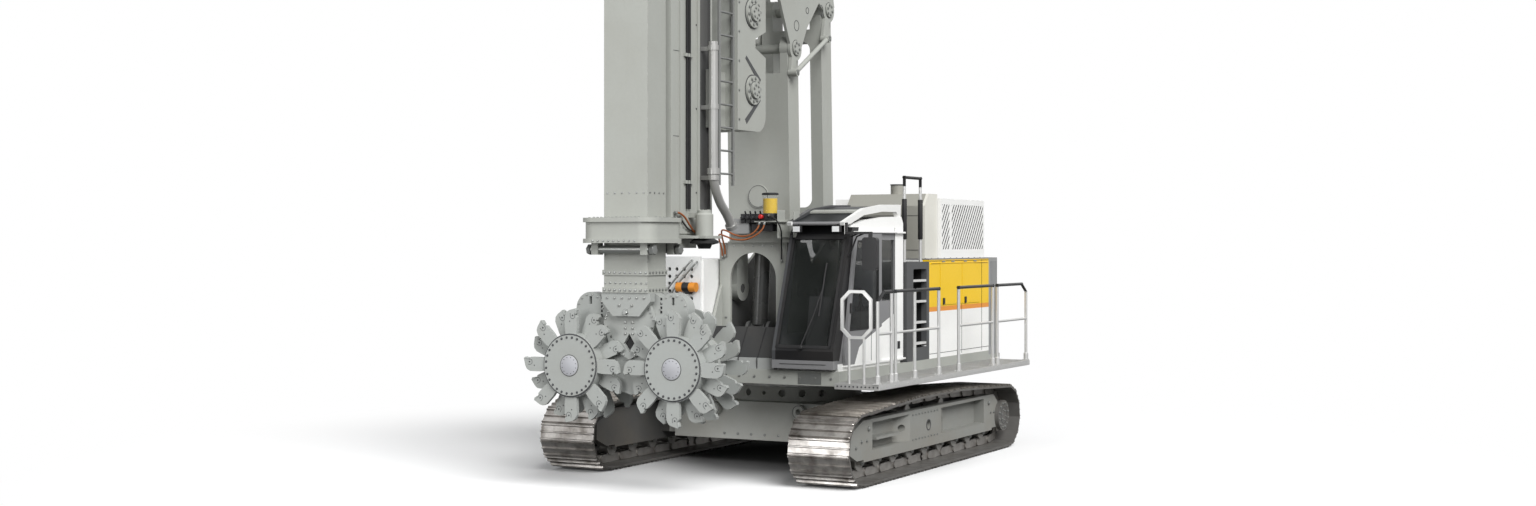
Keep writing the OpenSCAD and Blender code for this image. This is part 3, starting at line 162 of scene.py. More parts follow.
def material(name, color, rough=0.5, metal=0.0, dirt=0.12, dirt_color=(0.2, 0.17, 0.13), scale=1.6,
             grain=0.04, bump=0.05, bump_scale=140.0, alpha=1.0, mud=None, zones=(), streak=0.0, spec=0.3):
    """Paint or metal: a base colour with zones, dirt, grain and a fine bump.
    A zone is (colour, limits for Net.inside); mud is (height where it ends, strength)."""
    made = bpy.data.materials.new(name)
    made.use_nodes = True
    net = Net(made.node_tree)
    shader = made.node_tree.nodes["Principled BSDF"]
    place = net.place()
    tone = color
    for zone_color, limits in zones:
        tone = net.mix(net.inside(place, limits), tone, zone_color)
    slow = net.noise(place, scale, SLOW_DETAIL)
    tone = net.mix(dirt_share(net, place, slow, dirt, streak, mud), tone, dirt_color)
    grained = net.vector("SCALE", tone)
    fine = net.noise(place, FINE_SCALE, FINE_DETAIL)
    net.put(net.remap(fine, 0.0, 1.0, 1 - grain, 1 + grain), grained.inputs["Scale"])
    net.put(grained.outputs["Vector"], shader.inputs["Base Color"])
    smooth, coarse = max(ROUGH_LEAST, rough - ROUGH_LESS), min(1.0, rough + ROUGH_MORE)
    net.put(net.remap(slow, 0.0, 1.0, smooth, coarse), shader.inputs["Roughness"])
    if bump:
        relief = net.add("ShaderNodeBump")
        net.put(bump, relief.inputs["Strength"])
        net.put(BUMP_DEPTH, relief.inputs["Distance"])
        net.put(net.noise(place, bump_scale, BUMP_DETAIL), relief.inputs["Height"])
        net.put(relief.outputs["Normal"], shader.inputs["Normal"])
    net.put(metal, shader.inputs["Metallic"])
    net.put(spec, shader.inputs["Specular IOR Level"])
    if alpha < 1:
        net.put(alpha, shader.inputs["Alpha"])
    return made


# colours
C_GREY = (0.375, 0.385, 0.355)
C_WHITE = (0.92, 0.92, 0.9)
# dark grey of the cab's side, door and front foot, partly its own tone and partly lightened as a painted
# reflection of the cab's glass; also the grey of the guard's front bar
C_CAB = (0.22, 0.22, 0.225)
C_DARK = (0.062, 0.064, 0.068)
# painted shade: the tone painted on recesses and far sides that lie in shade
C_SHADE = (0.085, 0.086, 0.085)
C_BLACK = (0.012, 0.012, 0.013)
C_GRIP = (0.035, 0.036, 0.038)
C_ORANGE = (0.8, 0.3, 0.035)
C_YELLOW = (0.86, 0.55, 0.008)
C_ALU = (0.6, 0.6, 0.59)

# paint zones, as limits for Net.inside
# painted shade: a dark band in the recess by the leader's rear rail, standing for the shade and the hoses
# there
LEADER_BACK_SHADE = [(Y, -3.085, -2.899), (Z, 3.01, ALL)]
# painted shade: the inside of the portal's arch is painted dark
PORTAL_INSIDE_SHADE = [(X, -0.459, 0.459), (Y, -1.153, 0.558), (Z, 1.0, 3.4)]
# painted shade: the inner halves of the side frames, which lie in shade between the tracks
FRAME_INSIDE_SHADE = [(X, -1.68, 1.68)]
# the cab's dark side ends at the rear pillar and at a bent line low down
CAB_DARK = [(X, 1.4, ALL), (Y, -ALL, 0.03), (Z, 1.4, 3.035)]
CAB_LOW = [
    (X, 1.4, ALL), ((0, -0.3, 1), -ALL, 1.966), ((0, -1.49, 1), -ALL, 3.314), ((0, -0.48, 1), -ALL, 2.144),
]
CAB_SCREEN = [((0, -0.945, 0.326), 2.03, ALL), (Z, 1.44, 3.1), (X, -ALL, 1.462)]
CAB_ROOF = [(X, 0.71, 1.385), (Y, -1.3, 0.22), (Z, 3.05, ALL)]
CAB_RIGHT = [(X, -ALL, 0.66), (Y, -ALL, 0.1), (Z, 1.4, 3.0)]
CAB_FOOT = [(Y, -ALL, -1.7), (Z, -ALL, 1.445)]
DOOR_GRIP = [(X, 1.503, ALL), (Z, 1.95, 2.2)]
FLAP_LATCH = [(X, 1.5055, ALL), (Z, -ALL, 2.16)]
HOOD_SIDES = ([(X, 1.4, ALL)], [(X, -ALL, -1.4)])
HOOD_FIELD = [(Z, 2.02, 2.668)]
HOOD_STRIPE = [(Z, 1.955, 2.02)]
HOOD_ZONES = [(C_YELLOW, HOOD_FIELD + side) for side in HOOD_SIDES]
HOOD_ZONES += [(C_ORANGE, HOOD_STRIPE + side) for side in HOOD_SIDES]
HOOD_ZONES += [((0.2, 0.2, 0.2), [(Z, 2.668, ALL)])]
COVER_FOOT = [(Z, -ALL, 1.452)]
# painted shade: the inside of the step panel's recess is painted black
STEP_RECESS_SHADE = [(X, 1.2, 1.4205), (Y, 0.55, 1.02), (Z, 1.47, 2.56)]
STEP_TREADS = [(X, 1.423, 1.498), (Y, 0.5585, 1.0145), (Z, 1.49, 2.44)]
# painted dark reflection: the worn edges of the shoes on the top run are darker, as they mirror the dark
# underside of the deck
SHOES_ON_TOP_REFLECTION = [(Z, 0.62, ALL), (Y, -2.62, ALL)]
RAIL_TOP = [(Z, 2.281, 2.36), (X, 2.03, ALL)]
RAIL_FRONT_BEND = [(Z, 2.192, 2.36), (X, 2.03, ALL), (Y, -ALL, -1.62)]
RAIL_REAR_BEND = [(Z, 2.192, 2.36), (X, 2.03, ALL), (Y, 3.18, ALL)]
HIGH_RAIL = [(Z, 3.66, ALL)]
BOARDING_RAIL = [(Z, 2.95, 3.49), (X, -ALL, 1.5)]
EXHAUST_SIDE = [(X, 1.26, ALL)]
# painted shade: the bottoms of the louvre's slots are painted black
LOUVRE_SLOT_SHADE = [(X, 1.32, 1.3494), (Y, 1.92, 3.52), (Z, 2.79, 3.47)]
# painted shade: the roof guard's far arm is painted dark
GUARD_FAR_ARM_SHADE = [(X, -ALL, 0.716), (Y, -1.46, ALL)]
GUARD_FRONT_BAR = [(X, 0.715, 1.385), (Y, -1.47, -1.4)]
GUARD_MIRROR = [(X, 1.455, ALL)]
GUARD_BARS = [(X, 0.715, 1.385), (Y, -1.4, ALL)]
PANEL_LAMP = [(Y, -ALL, -1.6025), (Z, 2.25, 2.42)]
PANEL_LAMP_REAR = [(Y, -ALL, -1.6025), (X, -0.76, -0.66)]

# paints of the machine
GREY = material("grey_paint", C_GREY, 0.4, dirt=0.1, streak=0.05)
LEADER = material("leader_paint", C_GREY, 0.4, dirt=0.1, streak=0.05, zones=[(C_SHADE, LEADER_BACK_SHADE)])
PORTAL = material("portal_paint", C_GREY, 0.4, dirt=0.1, streak=0.05, zones=[(C_SHADE, PORTAL_INSIDE_SHADE)])
# painted light: the carbody's grey is lighter than the side frames', to make up for the shade under the deck
CARBODY_LIGHTENED = material("carbody_paint_lightened", (0.48, 0.49, 0.46), 0.45, dirt=0.22, mud=(1.0, 0.35))
FRAME = material("side_frame_paint", (0.25, 0.255, 0.24), 0.45, dirt=0.22, mud=(1.0, 0.35),
    zones=[(C_SHADE, FRAME_INSIDE_SHADE)])
CUTTER = material("cutter_paint", (0.35, 0.365, 0.35), 0.42, dirt=0.14, scale=2.4)
WHITE = material("white_paint", C_WHITE, 0.36, dirt=0.05)
HOOD = material("hood_paint", C_WHITE, 0.32, dirt=0.05, zones=HOOD_ZONES)
YELLOW = material("yellow_paint", C_YELLOW, 0.32, dirt=0.04, zones=[(C_BLACK, FLAP_LATCH)])
DARK = material("dark_paint", C_DARK, 0.45, dirt=0.1)
COVER = material("cover_paint", (0.028, 0.029, 0.03), 0.38, dirt=0.08,
    zones=[((0.33, 0.34, 0.33), COVER_FOOT)])
# the step panel's recess is painted black as shade
STEPS = material("step_paint", (0.075, 0.077, 0.08), 0.5, dirt=0.08,
    zones=[(C_BLACK, STEP_RECESS_SHADE), (C_ALU, STEP_TREADS)])
BALLAST = material("ballast_grey", (0.29, 0.295, 0.295), 0.5, dirt=0.1, streak=0.08)
# painted shade: the lift barrel inside the arch is painted near black
BARREL_SHADE = material("barrel_painted_shade", (0.042, 0.043, 0.042), 0.25, dirt=0.1)
BEIGE = material("beige_paint", (0.33, 0.325, 0.29), 0.45, dirt=0.1,
    zones=[((0.7, 0.69, 0.63), EXHAUST_SIDE)])
# the louvre's slots are painted black as shade
LOUVRE = material("louvre_paint", (0.84, 0.84, 0.82), 0.4, dirt=0.05, zones=[(C_BLACK, LOUVRE_SLOT_SHADE)])
PANEL = material("panel_paint", (0.78, 0.79, 0.78), 0.4, dirt=0.06,
    zones=[(C_ORANGE, PANEL_LAMP), (C_BLACK, PANEL_LAMP_REAR)])

# paints and trim of the cab
CAB = material("cab_paint", C_WHITE, 0.34, dirt=0.04, zones=[
    (C_CAB, CAB_DARK), (C_WHITE, CAB_LOW), (C_BLACK, CAB_SCREEN), (C_BLACK, CAB_ROOF),
    (C_DARK, CAB_RIGHT), (C_CAB, CAB_FOOT)])
DOOR = material("door_paint", C_CAB, 0.3, dirt=0.04, zones=[(C_WHITE, CAB_LOW), (C_BLACK, DOOR_GRIP)])
# the guard's far arm is painted dark as shade
GUARD = material("guard_paint", (0.82, 0.82, 0.8), 0.35, dirt=0.05, zones=[
    (C_DARK, GUARD_FAR_ARM_SHADE), (C_CAB, GUARD_FRONT_BAR), (C_BLACK, GUARD_MIRROR), (C_BLACK, GUARD_BARS)])
PLASTIC = material("cab_trim", (0.022, 0.022, 0.024), 0.55, dirt=0.05)
INSIDE = material("cab_lining", (0.1, 0.1, 0.105), 0.6, dirt=0.08)
FABRIC = material("seat_fabric", (0.15, 0.155, 0.17), 0.9, dirt=0.15, scale=8,
    dirt_color=(0.06, 0.06, 0.065), bump=0.5, bump_scale=420)

# bare metal
# partly the steel's own dark grey, partly painted light: lifted to make up for the shade under the walkway
TRACK = material("track_steel", (0.155, 0.15, 0.142), 0.42, 0.35, dirt=0.6, scale=3.0,
    dirt_color=(0.085, 0.075, 0.064), bump=0.3, bump_scale=40)
# the shoes on the top run get a darker tone, a painted dark reflection of the deck's underside
WORN = material("track_worn", (0.46, 0.44, 0.42), 0.3, 0.9, dirt=0.95, scale=5.5,
    dirt_color=(0.085, 0.072, 0.06), grain=0.18, bump=0.35, bump_scale=30,
    zones=[((0.2, 0.185, 0.165), SHOES_ON_TOP_REFLECTION)])
LINK = material("chain_steel", (0.4, 0.385, 0.365), 0.35, 0.7, dirt=0.5, scale=6,
    dirt_color=(0.11, 0.09, 0.07), bump=0.2, bump_scale=60)
ROLLER = material("roller_steel", (0.42, 0.41, 0.39), 0.32, 0.6, dirt=0.4, scale=7,
    dirt_color=(0.12, 0.1, 0.08))
LADDER = material("ladder_grey", (0.22, 0.225, 0.22), 0.4, 0.3, dirt=0.12, scale=5)
HUB = material("hub_steel", (0.4, 0.405, 0.43), 0.4, dirt=0.08, scale=8)
STEEL = material("bare_steel", (0.42, 0.42, 0.41), 0.34, 0.6, dirt=0.2)
BOLT = material("bolt_steel", (0.3, 0.31, 0.3), 0.32, 0.75, dirt=0.2, scale=9)
IRON = material("engine_iron", (0.1, 0.1, 0.11), 0.5, 0.3, dirt=0.3)
CHROME = material("plated_rod", (0.7, 0.71, 0.72), 0.14, 1.0, dirt=0.03)
DECK = material("walkway_alu", (0.42, 0.42, 0.41), 0.45, 0.4, dirt=0.18, scale=3)
ALU = material("rail_aluminium", (0.62, 0.62, 0.61), 0.33, 0.55, dirt=0.08, scale=4, zones=[
    (C_GRIP, RAIL_TOP), (C_GRIP, RAIL_FRONT_BEND), (C_GRIP, RAIL_REAR_BEND),
    (C_BLACK, HIGH_RAIL), (C_BLACK, BOARDING_RAIL)])

# glass, rubber, lenses and small things
GLASS = material("tinted_glass", (0.02, 0.023, 0.022), 0.04, dirt=0.02, grain=0, bump=0, alpha=0.34, spec=0.5)
ROOF_GLASS = material("roof_glass", (0.01, 0.012, 0.014), 0.35, dirt=0.03, bump=0, spec=0.05)
SCREEN_GLASS = material("screen_glass", (0.03, 0.05, 0.07), 0.1, dirt=0.02, bump=0)
CLEAR = material("clear_pot", (0.55, 0.57, 0.52), 0.05, dirt=0, grain=0, bump=0, alpha=0.14)
RUBBER = material("black_rubber", (0.016, 0.016, 0.017), 0.6, scale=7, dirt_color=(0.1, 0.09, 0.08))
HOSE = material("rust_hose", (0.3, 0.085, 0.022), 0.5, dirt=0.25, scale=9)
RED = material("red_knob", (0.55, 0.02, 0.02), 0.3, dirt=0.05)
GREASE = material("yellow_grease", (0.72, 0.47, 0.0), 0.35, dirt=0.05)
LENS = material("lamp_glass", (0.75, 0.76, 0.76), 0.1, dirt=0.04, scale=9)
TAIL = material("red_lens", (0.45, 0.012, 0.012), 0.18, dirt=0.03)

# the finish of each carried-over solid: by its slot, or its own
SLOT = {
    "grey_paint": GREY, "white_paint": WHITE, "yellow_paint": YELLOW, "dark_paint": DARK, "worn_steel": TRACK,
    "bare_steel": STEEL, "cast_grey": BALLAST, "engine_iron": IRON, "rail_alu": ALU, "tinted_glass": GLASS,
    "cab_plastic": PLASTIC, "chrome_rod": CHROME,
}
OWN = {
    "exhaust_box": BEIGE, "cab_shell": CAB, "cab_door": DOOR, "engine_hood": HOOD, "front_cover": COVER,
    "step_panel": STEPS, "walkway": DECK, "carbody": CARBODY_LIGHTENED, "side_frame_left": FRAME,
    "side_frame_right": FRAME, "lashing_eyes": CARBODY_LIGHTENED, "cutter_left": CUTTER, "cutter_right": CUTTER,
    "cutter_frame": CUTTER, "louvre_box": LOUVRE, "leader_ladder": LADDER, "lift_barrel": BARREL_SHADE,
    "cab_interior": INSIDE, "rollers": ROLLER, "leader_box": LEADER, "portal": PORTAL,
    "cab_visor": GUARD, "lamp_panel": PANEL,
}
for part in frame["record"]["subparts"]:
    solid = nodes[part["node"]].data
    solid.materials.clear()
    solid.materials.append(OWN.get(part["node"], SLOT[part["material_slot"]]))


# mesh building
def square_to(axis):
    """The unit axis and two unit vectors square to it."""
    a = Vector(axis).normalized()
    u = a.orthogonal().normalized()
    return a, u, a.cross(u)


def circle(c, u, w, r, n):
    """n points round c in the plane of u and w."""
    angles = [k * math.tau / n for k in range(n)]
    return [c + (u * math.cos(q) + w * math.sin(q)) * r for q in angles]


def add_piece(name, data, body):
    """A new object that rides on a body."""
    o = bpy.data.objects.new(name, data)
    scene.collection.objects.link(o)
    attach(o, body)
    return o


class Shape:
    """Gathers small solids in one mesh."""

    def __init__(self):
        self.bm = bmesh.new()
        self.index = 0

    def faces(self, pts, faces):
        vs = [self.bm.verts.new(p) for p in pts]
        made = [self.bm.faces.new([vs[i] for i in f]) for f in faces]
        for face in made:
            face.material_index = self.index
        return made

    def box(self, x, y, z):
        p = [(a, b, c) for a in x for b in y for c in z]
        sides = [(0, 1, 3, 2), (4, 6, 7, 5), (0, 4, 5, 1), (2, 3, 7, 6), (0, 2, 6, 4), (1, 5, 7, 3)]
        self.faces(p, sides)

    def prism(self, pts, vec):
        """A planar polygon of 3-D points, swept along vec."""
        low = [Vector(q) for q in pts]
        self.rings([low, [q + Vector(vec) for q in low]])

    def rings(self, rows, caps=True):
        """Joins rows of points into a skin, closed by a cap at each end."""
        n = len(rows[0])
        last = (len(rows) - 1) * n
        skin = []
        for r in range(0, last, n):
            skin += [(r + i, r + (i + 1) % n, r + n + (i + 1) % n, r + n + i) for i in range(n)]
        if caps:
            skin += [tuple(range(n))[::-1], tuple(range(last, last + n))]
        return self.faces([p for row in rows for p in row], skin)

    def lathe(self, c, axis, profile, n=24):
        """profile: [(distance along the axis, radius), ...]"""
        a, u, w = square_to(axis)
        self.rings([circle(Vector(c) + a * d, u, w, r, n) for d, r in profile])

    def disc(self, c, axis, low, high, r, n):
        """A round plate between two distances along the axis."""
        self.lathe(c, axis, [(low, r), (high, r)], n)

    def rod(self, a, b, r, n=16):
        axis = Vector(b) - Vector(a)
        self.disc(a, axis, 0, axis.length, r, n)

    def ring(self, c, axis, r0, r1, h, n=48):
        """A flat ring of height h standing on c."""
        a, u, w = square_to(axis)
        profile = ((0, r0), (0, r1), (h, r1), (h, r0), (0, r0))
        self.rings([circle(Vector(c) + a * d, u, w, r, n) for d, r in profile], False)

    def bolt(self, c, axis, r):
        """A hexagon head on its washer."""
        h = r * 0.9
        self.disc(c, axis, -0.002, h * 0.25, r * 1.5, 14)
        self.lathe(c, axis, [(h * 0.2, r * 1.1), (h * 0.9, r * 1.1), (h, r * 0.9)], 6)

    def bolt_row(self, start, step, count, axis, r):
        for k in range(count):
            self.bolt(Vector(start) + Vector(step) * k, axis, r)

    def bolt_circle(self, c, axis, r, count, size):
        _, u, w = square_to(axis)
        for p in circle(Vector(c), u, w, r, count):
            self.bolt(p, axis, size)

    def tube(self, pts, r, n=8):
        pts = [Vector(p) for p in pts]
        rows = []
        side = None
        for i, p in enumerate(pts):
            along = (pts[min(i + 1, len(pts) - 1)] - pts[max(i - 1, 0)]).normalized()
            if side is None:
                side = along.orthogonal().normalized()
            side = (side - along * side.dot(along)).normalized()
            rows.append(circle(p, side, along.cross(side), r, n))
        self.rings(rows)

    def make(self, name, mats, body, slot, smooth=35, bevel=0.0):
        """Turns the mesh into a piece that rides on a body."""
        mesh = bpy.data.meshes.new(name)
        bmesh.ops.recalc_face_normals(self.bm, faces=self.bm.faces)
        self.bm.to_mesh(mesh)
        self.bm.free()
        for m in mats if isinstance(mats, list) else [mats]:
            mesh.materials.append(m)
        mesh.shade_smooth()
        mesh.set_sharp_from_angle(angle=math.radians(smooth))
        o = add_piece(name, mesh, body)
        if bevel:
            edge = o.modifiers.new("edge", "BEVEL")
            edge.width = bevel
            edge.segments = 2
            edge.limit_method = "ANGLE"
        return o


def piece(mats, body, slot, **finish):
    """Makes a piece of what a function draws, under the function's name."""
    def build(draw):
        shape = Shape()
        draw(shape)
        return shape.make(draw.__name__, mats, body, slot, **finish)
    return build


def curve_points(pts, n=36):
    """Points spread along a smooth curve through pts."""
    pts = [Vector(p) for p in pts]
    ends = [pts[0] * 2 - pts[1]] + pts + [pts[-1] * 2 - pts[-2]]
    per = max(2, n // (len(pts) - 1))
    out = []
    for i in range(1, len(ends) - 2):
        a, b, c, d = ends[i - 1:i + 3]
        for k in range(per):
            t = k / per
            square = (2 * a - 5 * b + 4 * c - d) * t * t
            cube = (3 * b - a - 3 * c + d) * t ** 3
            out.append(0.5 * (2 * b + (c - a) * t + square + cube))
    return out + [pts[-1]]


def hose(name, pts, diameter, mat, body):
    """A hose on one body, as a curve of one open spline, with a crimped fitting at each end."""
    line = curve_points(pts)
    curve = bpy.data.curves.new(name, "CURVE")
    curve.dimensions = "3D"
    curve.bevel_depth = diameter / 2
    curve.bevel_resolution = 3
    curve.use_fill_caps = True
    spline = curve.splines.new("POLY")
    spline.points.add(len(line) - 1)
    for q, p in zip(spline.points, line):
        q.co = (*p, 1)
    curve.materials.append(mat)
    o = add_piece(name, curve, body)
    r = diameter / 2
    ends = Shape()
    for a, b in ((line[0], line[1]), (line[-1], line[-2])):
        ends.lathe(a, b - a, [(-0.6 * r, 1.5 * r), (0.6 * r, 1.6 * r)], 6)
        ends.lathe(a, b - a, [(0.6 * r, 1.3 * r), (2.6 * r, 1.3 * r), (2.9 * r, 1.15 * r)], 14)
    fitting = ends.make(name + "_fittings", BOLT, body, "bare_steel")


# cutter wheels: cover bolts, hub discs, a painted shadow ring round the cover, and the bits and teeth of the
# paddles
PADDLES = 8
RIM_Y, COVER_Y, HUB_Y, HUB_BOLT_Y = 0.312, 0.329, 0.3335, 0.3345
PADDLE_Y = (0.3, 0.184)
MARK = 0.0015
BIT_OUT, BIT_AHEAD = 0.575, 0.026
BIT_SCREWS = ((0.006, 0.0, 0.0105), (-0.062, -0.04, 0.0075))
TOOTH = ((0.6, 0.055), (0.634, 0.058), (0.661, 0.066), (0.64, 0.081), (0.598, 0.074))
TOOTH_PROUD, TOOTH_DEEP = 0.003, 0.052


def bit_edge(r):
    """One edge of the seam round a bit: a half circle with two straight ends."""
    turn = [math.radians(90 + 15 * i) for i in range(13)]
    return [(0.045, r)] + [(r * math.cos(v), r * math.sin(v)) for v in turn] + [(0.03, -r)]


BIT_SEAM = bit_edge(0.034) + bit_edge(0.029)[::-1]


def paddle_tip(marks, teeth, s, f, k):
    """Seam and screws of the bit in one paddle, and its tooth."""
    q = math.pi * k / PADDLES
    out = Vector((math.cos(q), 0, math.sin(q)))
    ahead = Vector((-math.sin(q), 0, math.cos(q))) * s
    face = Vector((s * AXLE_X, KELLY_Y + f * PADDLE_Y[k % 2], AXLE_Z))
    seat = face + out * BIT_OUT + ahead * BIT_AHEAD
    marks.prism([seat + out * a + ahead * c for a, c in BIT_SEAM], (0, f * MARK, 0))
    for along, across, size in BIT_SCREWS:
        marks.disc(seat + out * along + ahead * across, (0, f, 0), -0.001, 0.002, size, 14)
    tip = face + Vector((0, f * TOOTH_PROUD, 0))
    teeth.prism([tip + out * a + ahead * c for a, c in TOOTH], (0, -f * TOOTH_DEEP, 0))


def cutter_wheel(s, body):
    hubs, marks, teeth = Shape(), Shape(), Shape()
    for f in SIDES:
        axis = (0, f, 0)
        rim, cover, hub, hub_bolts = [
            (s * AXLE_X, KELLY_Y + f * y, AXLE_Z) for y in (RIM_Y, COVER_Y, HUB_Y, HUB_BOLT_Y)]
        marks.bolt_circle(cover, axis, 0.326, 28, 0.01)
        marks.bolt_circle(hub_bolts, axis, 0.096, 12, 0.006)
        hubs.lathe(hub, axis, [(0, 0.116), (0.004, 0.116), (0.006, 0.112)], 48)
        # painted shadow: a dark ring on the rim round the proud cover
        marks.ring(rim, axis, 0.3525, 0.37, 0.002, 64)
        marks.ring(cover, axis, 0.12, 0.128, MARK, 40)
        for k in range(2 * PADDLES):
            paddle_tip(marks, teeth, s, f, k)
    hubs.make(f"{body}_hubs", HUB, body, "bare_steel")
    marks.make(f"{body}_grooves_and_shadow_ring", DARK, body, "bare_steel")
    teeth.make(f"{body}_teeth", CUTTER, body, "bare_steel", bevel=0.003)


cutter_wheel(1, "cutter_left")
cutter_wheel(-1, "cutter_right")

# gear shield and kelly: distances are from the kelly's middle
SHIELD_Y, LOBE_Y, OPENING_Y, KELLY_FACE = 0.125, 0.078, 0.0775, 0.2
LOBE_X, LOBE_Z, LOBE_R = 0.56, 2.13, 0.172
SHIELD_PIN_Z, SHIELD_PIN = 2.105, [(0, 0.03), (0.022, 0.03), (0.026, 0.025)]
# outline of the dark diamond of painted shade between the wheels
SHADE_DIAMOND = ((0, 1.645), (0.072, 1.74), (0, 1.855), (-0.072, 1.74))
# rows of bolts on the front and the back: first x, step, count, y, height, size
FACE_ROWS = (
    (-0.28, 0.07, 9, 0.215, 2.36, 0.013),
    (-0.28, 0.07, 9, 0.215, 2.56, 0.011),
    (-0.28, 0.07, 9, KELLY_FACE, 2.44, 0.01),
    (-0.245, 0.098, 6, KELLY_FACE, 3.475, 0.009),
    (-0.25, 0.1, 6, KELLY_FACE, 2.27, 0.012),
    (-0.085, 0.17, 2, KELLY_FACE, 2.184, 0.014),
)
# rows of bolts on the sides: first y, step, count, x, height, size
SIDE_ROWS = (
    (-0.175, 0.07, 6, 0.31, 2.36, 0.012),
    (-0.175, 0.07, 6, 0.31, 2.56, 0.011),
    (-0.15, 0.1, 4, 0.295, 3.475, 0.009),
)
WELD, KELLY_WELD_Z = 0.006, range(9, 19, 3)


def shield_half(b, f, s):
    """Bolts on one half of one face of the gear shield."""
    axis = (0, f, 0)
    y = KELLY_Y + f * SHIELD_Y
    for k in range(8):
        t = k / 7
        b.bolt((s * (0.075 + 0.235 * t), y, 1.615 + 0.2 * t + 0.12 * t * t), axis, 0.011)
    b.bolt_row((s * 0.325, y, 2.02), (-s * 0.018, 0, 0.04), 6, axis, 0.011)
    for k in range(7):
        q = math.radians(20 + 26 * k)
        x, z = LOBE_X + LOBE_R * math.cos(q), LOBE_Z + LOBE_R * math.sin(q)
        b.bolt((s * x, KELLY_Y + f * LOBE_Y, z), axis, 0.01)
    b.bolt_row((s * 0.05, y, 1.855), (0, 0, 0.065), 3, axis, 0.013)


@piece(BOLT, "kelly", "bare_steel")
def kelly_bolts(b):
    for f in SIDES:
        axis = (0, f, 0)
        for s in SIDES:
            shield_half(b, f, s)
        for x, step, count, y, z, size in FACE_ROWS:
            b.bolt_row((x, KELLY_Y + f * y, z), (step, 0, 0), count, axis, size)
        b.disc((0, KELLY_Y + f * 0.198, SHIELD_PIN_Z), axis, 0, 0.006, 0.042, 24)
        b.lathe((0, KELLY_Y + f * KELLY_FACE, SHIELD_PIN_Z), axis, SHIELD_PIN, 6)
    for s in SIDES:
        for y, step, count, x, z, size in SIDE_ROWS:
            b.bolt_row((s * x, KELLY_Y + y, z), (0, step, 0), count, (s, 0, 0), size)


# painted shade: a dark diamond between the wheels and dark patches in the shield's openings
@piece(RUBBER, "kelly", "dark_paint")
def shield_opening_shade(b):
    for f in SIDES:
        b.prism([(x, KELLY_Y + f * OPENING_Y, z) for x, z in SHADE_DIAMOND], (0, f * 0.004, 0))
        depth = (KELLY_Y + f * 0.077, KELLY_Y + f * 0.0805)
        for s in SIDES:
            for k in range(5):
                b.box(span(s * 0.405, 0.012), depth, up(2.045 + 0.05 * k, 0.03))


@piece(DARK, "kelly", "grey_paint")
def kelly_weld_seams(b):
    for z in KELLY_WELD_Z:
        for s in SIDES:
            b.box(span(s * 0.2955, 0.0015), span(KELLY_Y, 0.198), up(z, WELD))
        b.box(span(0, 0.294), (KELLY_Y - 0.2015, KELLY_Y - 0.199), up(z, WELD))


# foot guide and leader
COLLAR_TOP, COLLAR_PIN_Y, COLLAR_PIN_Z = 3.19, 0.29, 2.825
COLLAR_NUT = [(-0.03, 0.062), (0.012, 0.062), (0.02, 0.055)]
LEADER_X = 0.3
PIPE_X, PIPE_Y, PIPE_ENDS = 0.316, (-3.41, -3.35), (3.3, 21.2)
RISER_X = 0.495
RISER = ((-3.1, 5.3), (-3.1, 4.6), (-3.1, 3.9), (-3.08, 3.62), (-2.95, 3.4), (-2.77, 3.24), (-2.64, 3.09))
SWIVEL = (0.5, -3.32)
SWIVEL_FOOT, SWIVEL_SEAT = 2.952, 2.985


@piece(BOLT, "leader", "bare_steel")
def collar_bolts(b):
    b.bolt_row((-0.28, KELLY_Y - 0.458, 2.925), (0.07, 0, 0), 9, FRONT, 0.01)
    b.bolt_row((-0.3024, KELLY_Y - 0.4, COLLAR_TOP), (0.0504, 0, 0), 13, Z, 0.011)
    for s in SIDES:
        for t in SIDES:
            y = KELLY_Y + t * COLLAR_PIN_Y
            b.lathe((s * 0.43, y, COLLAR_PIN_Z), (s, 0, 0), COLLAR_NUT, 6)
            b.disc((s * 0.375, y, COLLAR_PIN_Z), (s, 0, 0), 0, 0.012, 0.055, 20)
        b.bolt_row((s * 0.45, KELLY_Y - 0.27, COLLAR_TOP), (0, 0.09, 0), 6, Z, 0.011)
        pin_y = KELLY_Y + s * COLLAR_PIN_Y
        b.rod((-0.36, pin_y, COLLAR_PIN_Z), (0.36, pin_y, COLLAR_PIN_Z), 0.0465, 24)


@piece(DARK, "leader", "dark_paint")
def leader_seams(b):
    for s in SIDES:
        for z in range(3, 22):
            b.box(span(s * 0.301, 0.0015), (-3.7, -3.57), up(z + 0.15, WELD))
            for y in (-3.52, -3.17):
                b.bolt((s * LEADER_X, y, z + 0.5), (s, 0, 0), 0.008)


@piece([GREY, RUBBER], "leader", "grey_paint")
def leader_pipes(b):
    for s in SIDES:
        b.index = 1
        for y in PIPE_Y:
            b.tube([(s * PIPE_X, y, z) for z in PIPE_ENDS], 0.016)
        b.index = 0
        for k in range(12):
            b.box((s * LEADER_X, s * 0.33), (-3.47, -3.29), up(3.6 + 1.5 * k, 0.04))


@piece(STEEL, "leader", "bare_steel")
def riser_pipe(b):
    line = curve_points([(RISER_X, y, z) for y, z in RISER])
    b.tube(line, 0.055, 16)
    b.disc((RISER_X, -3.098, 3.72), Z, 0, 0.07, 0.075, 20)
    b.lathe(line[-1], line[-1] - line[-2], [(-0.05, 0.075), (0.0, 0.075), (0.0, 0.05), (-0.03, 0.048)], 20)
    for z in (3.655, 4.5, 5.2):
        b.box((LEADER_X, 0.45), (-3.06, -3.01), up(z, 0.05))
        b.disc((RISER_X, -3.1, z - 0.005), Z, 0, 0.06, 0.064, 20)


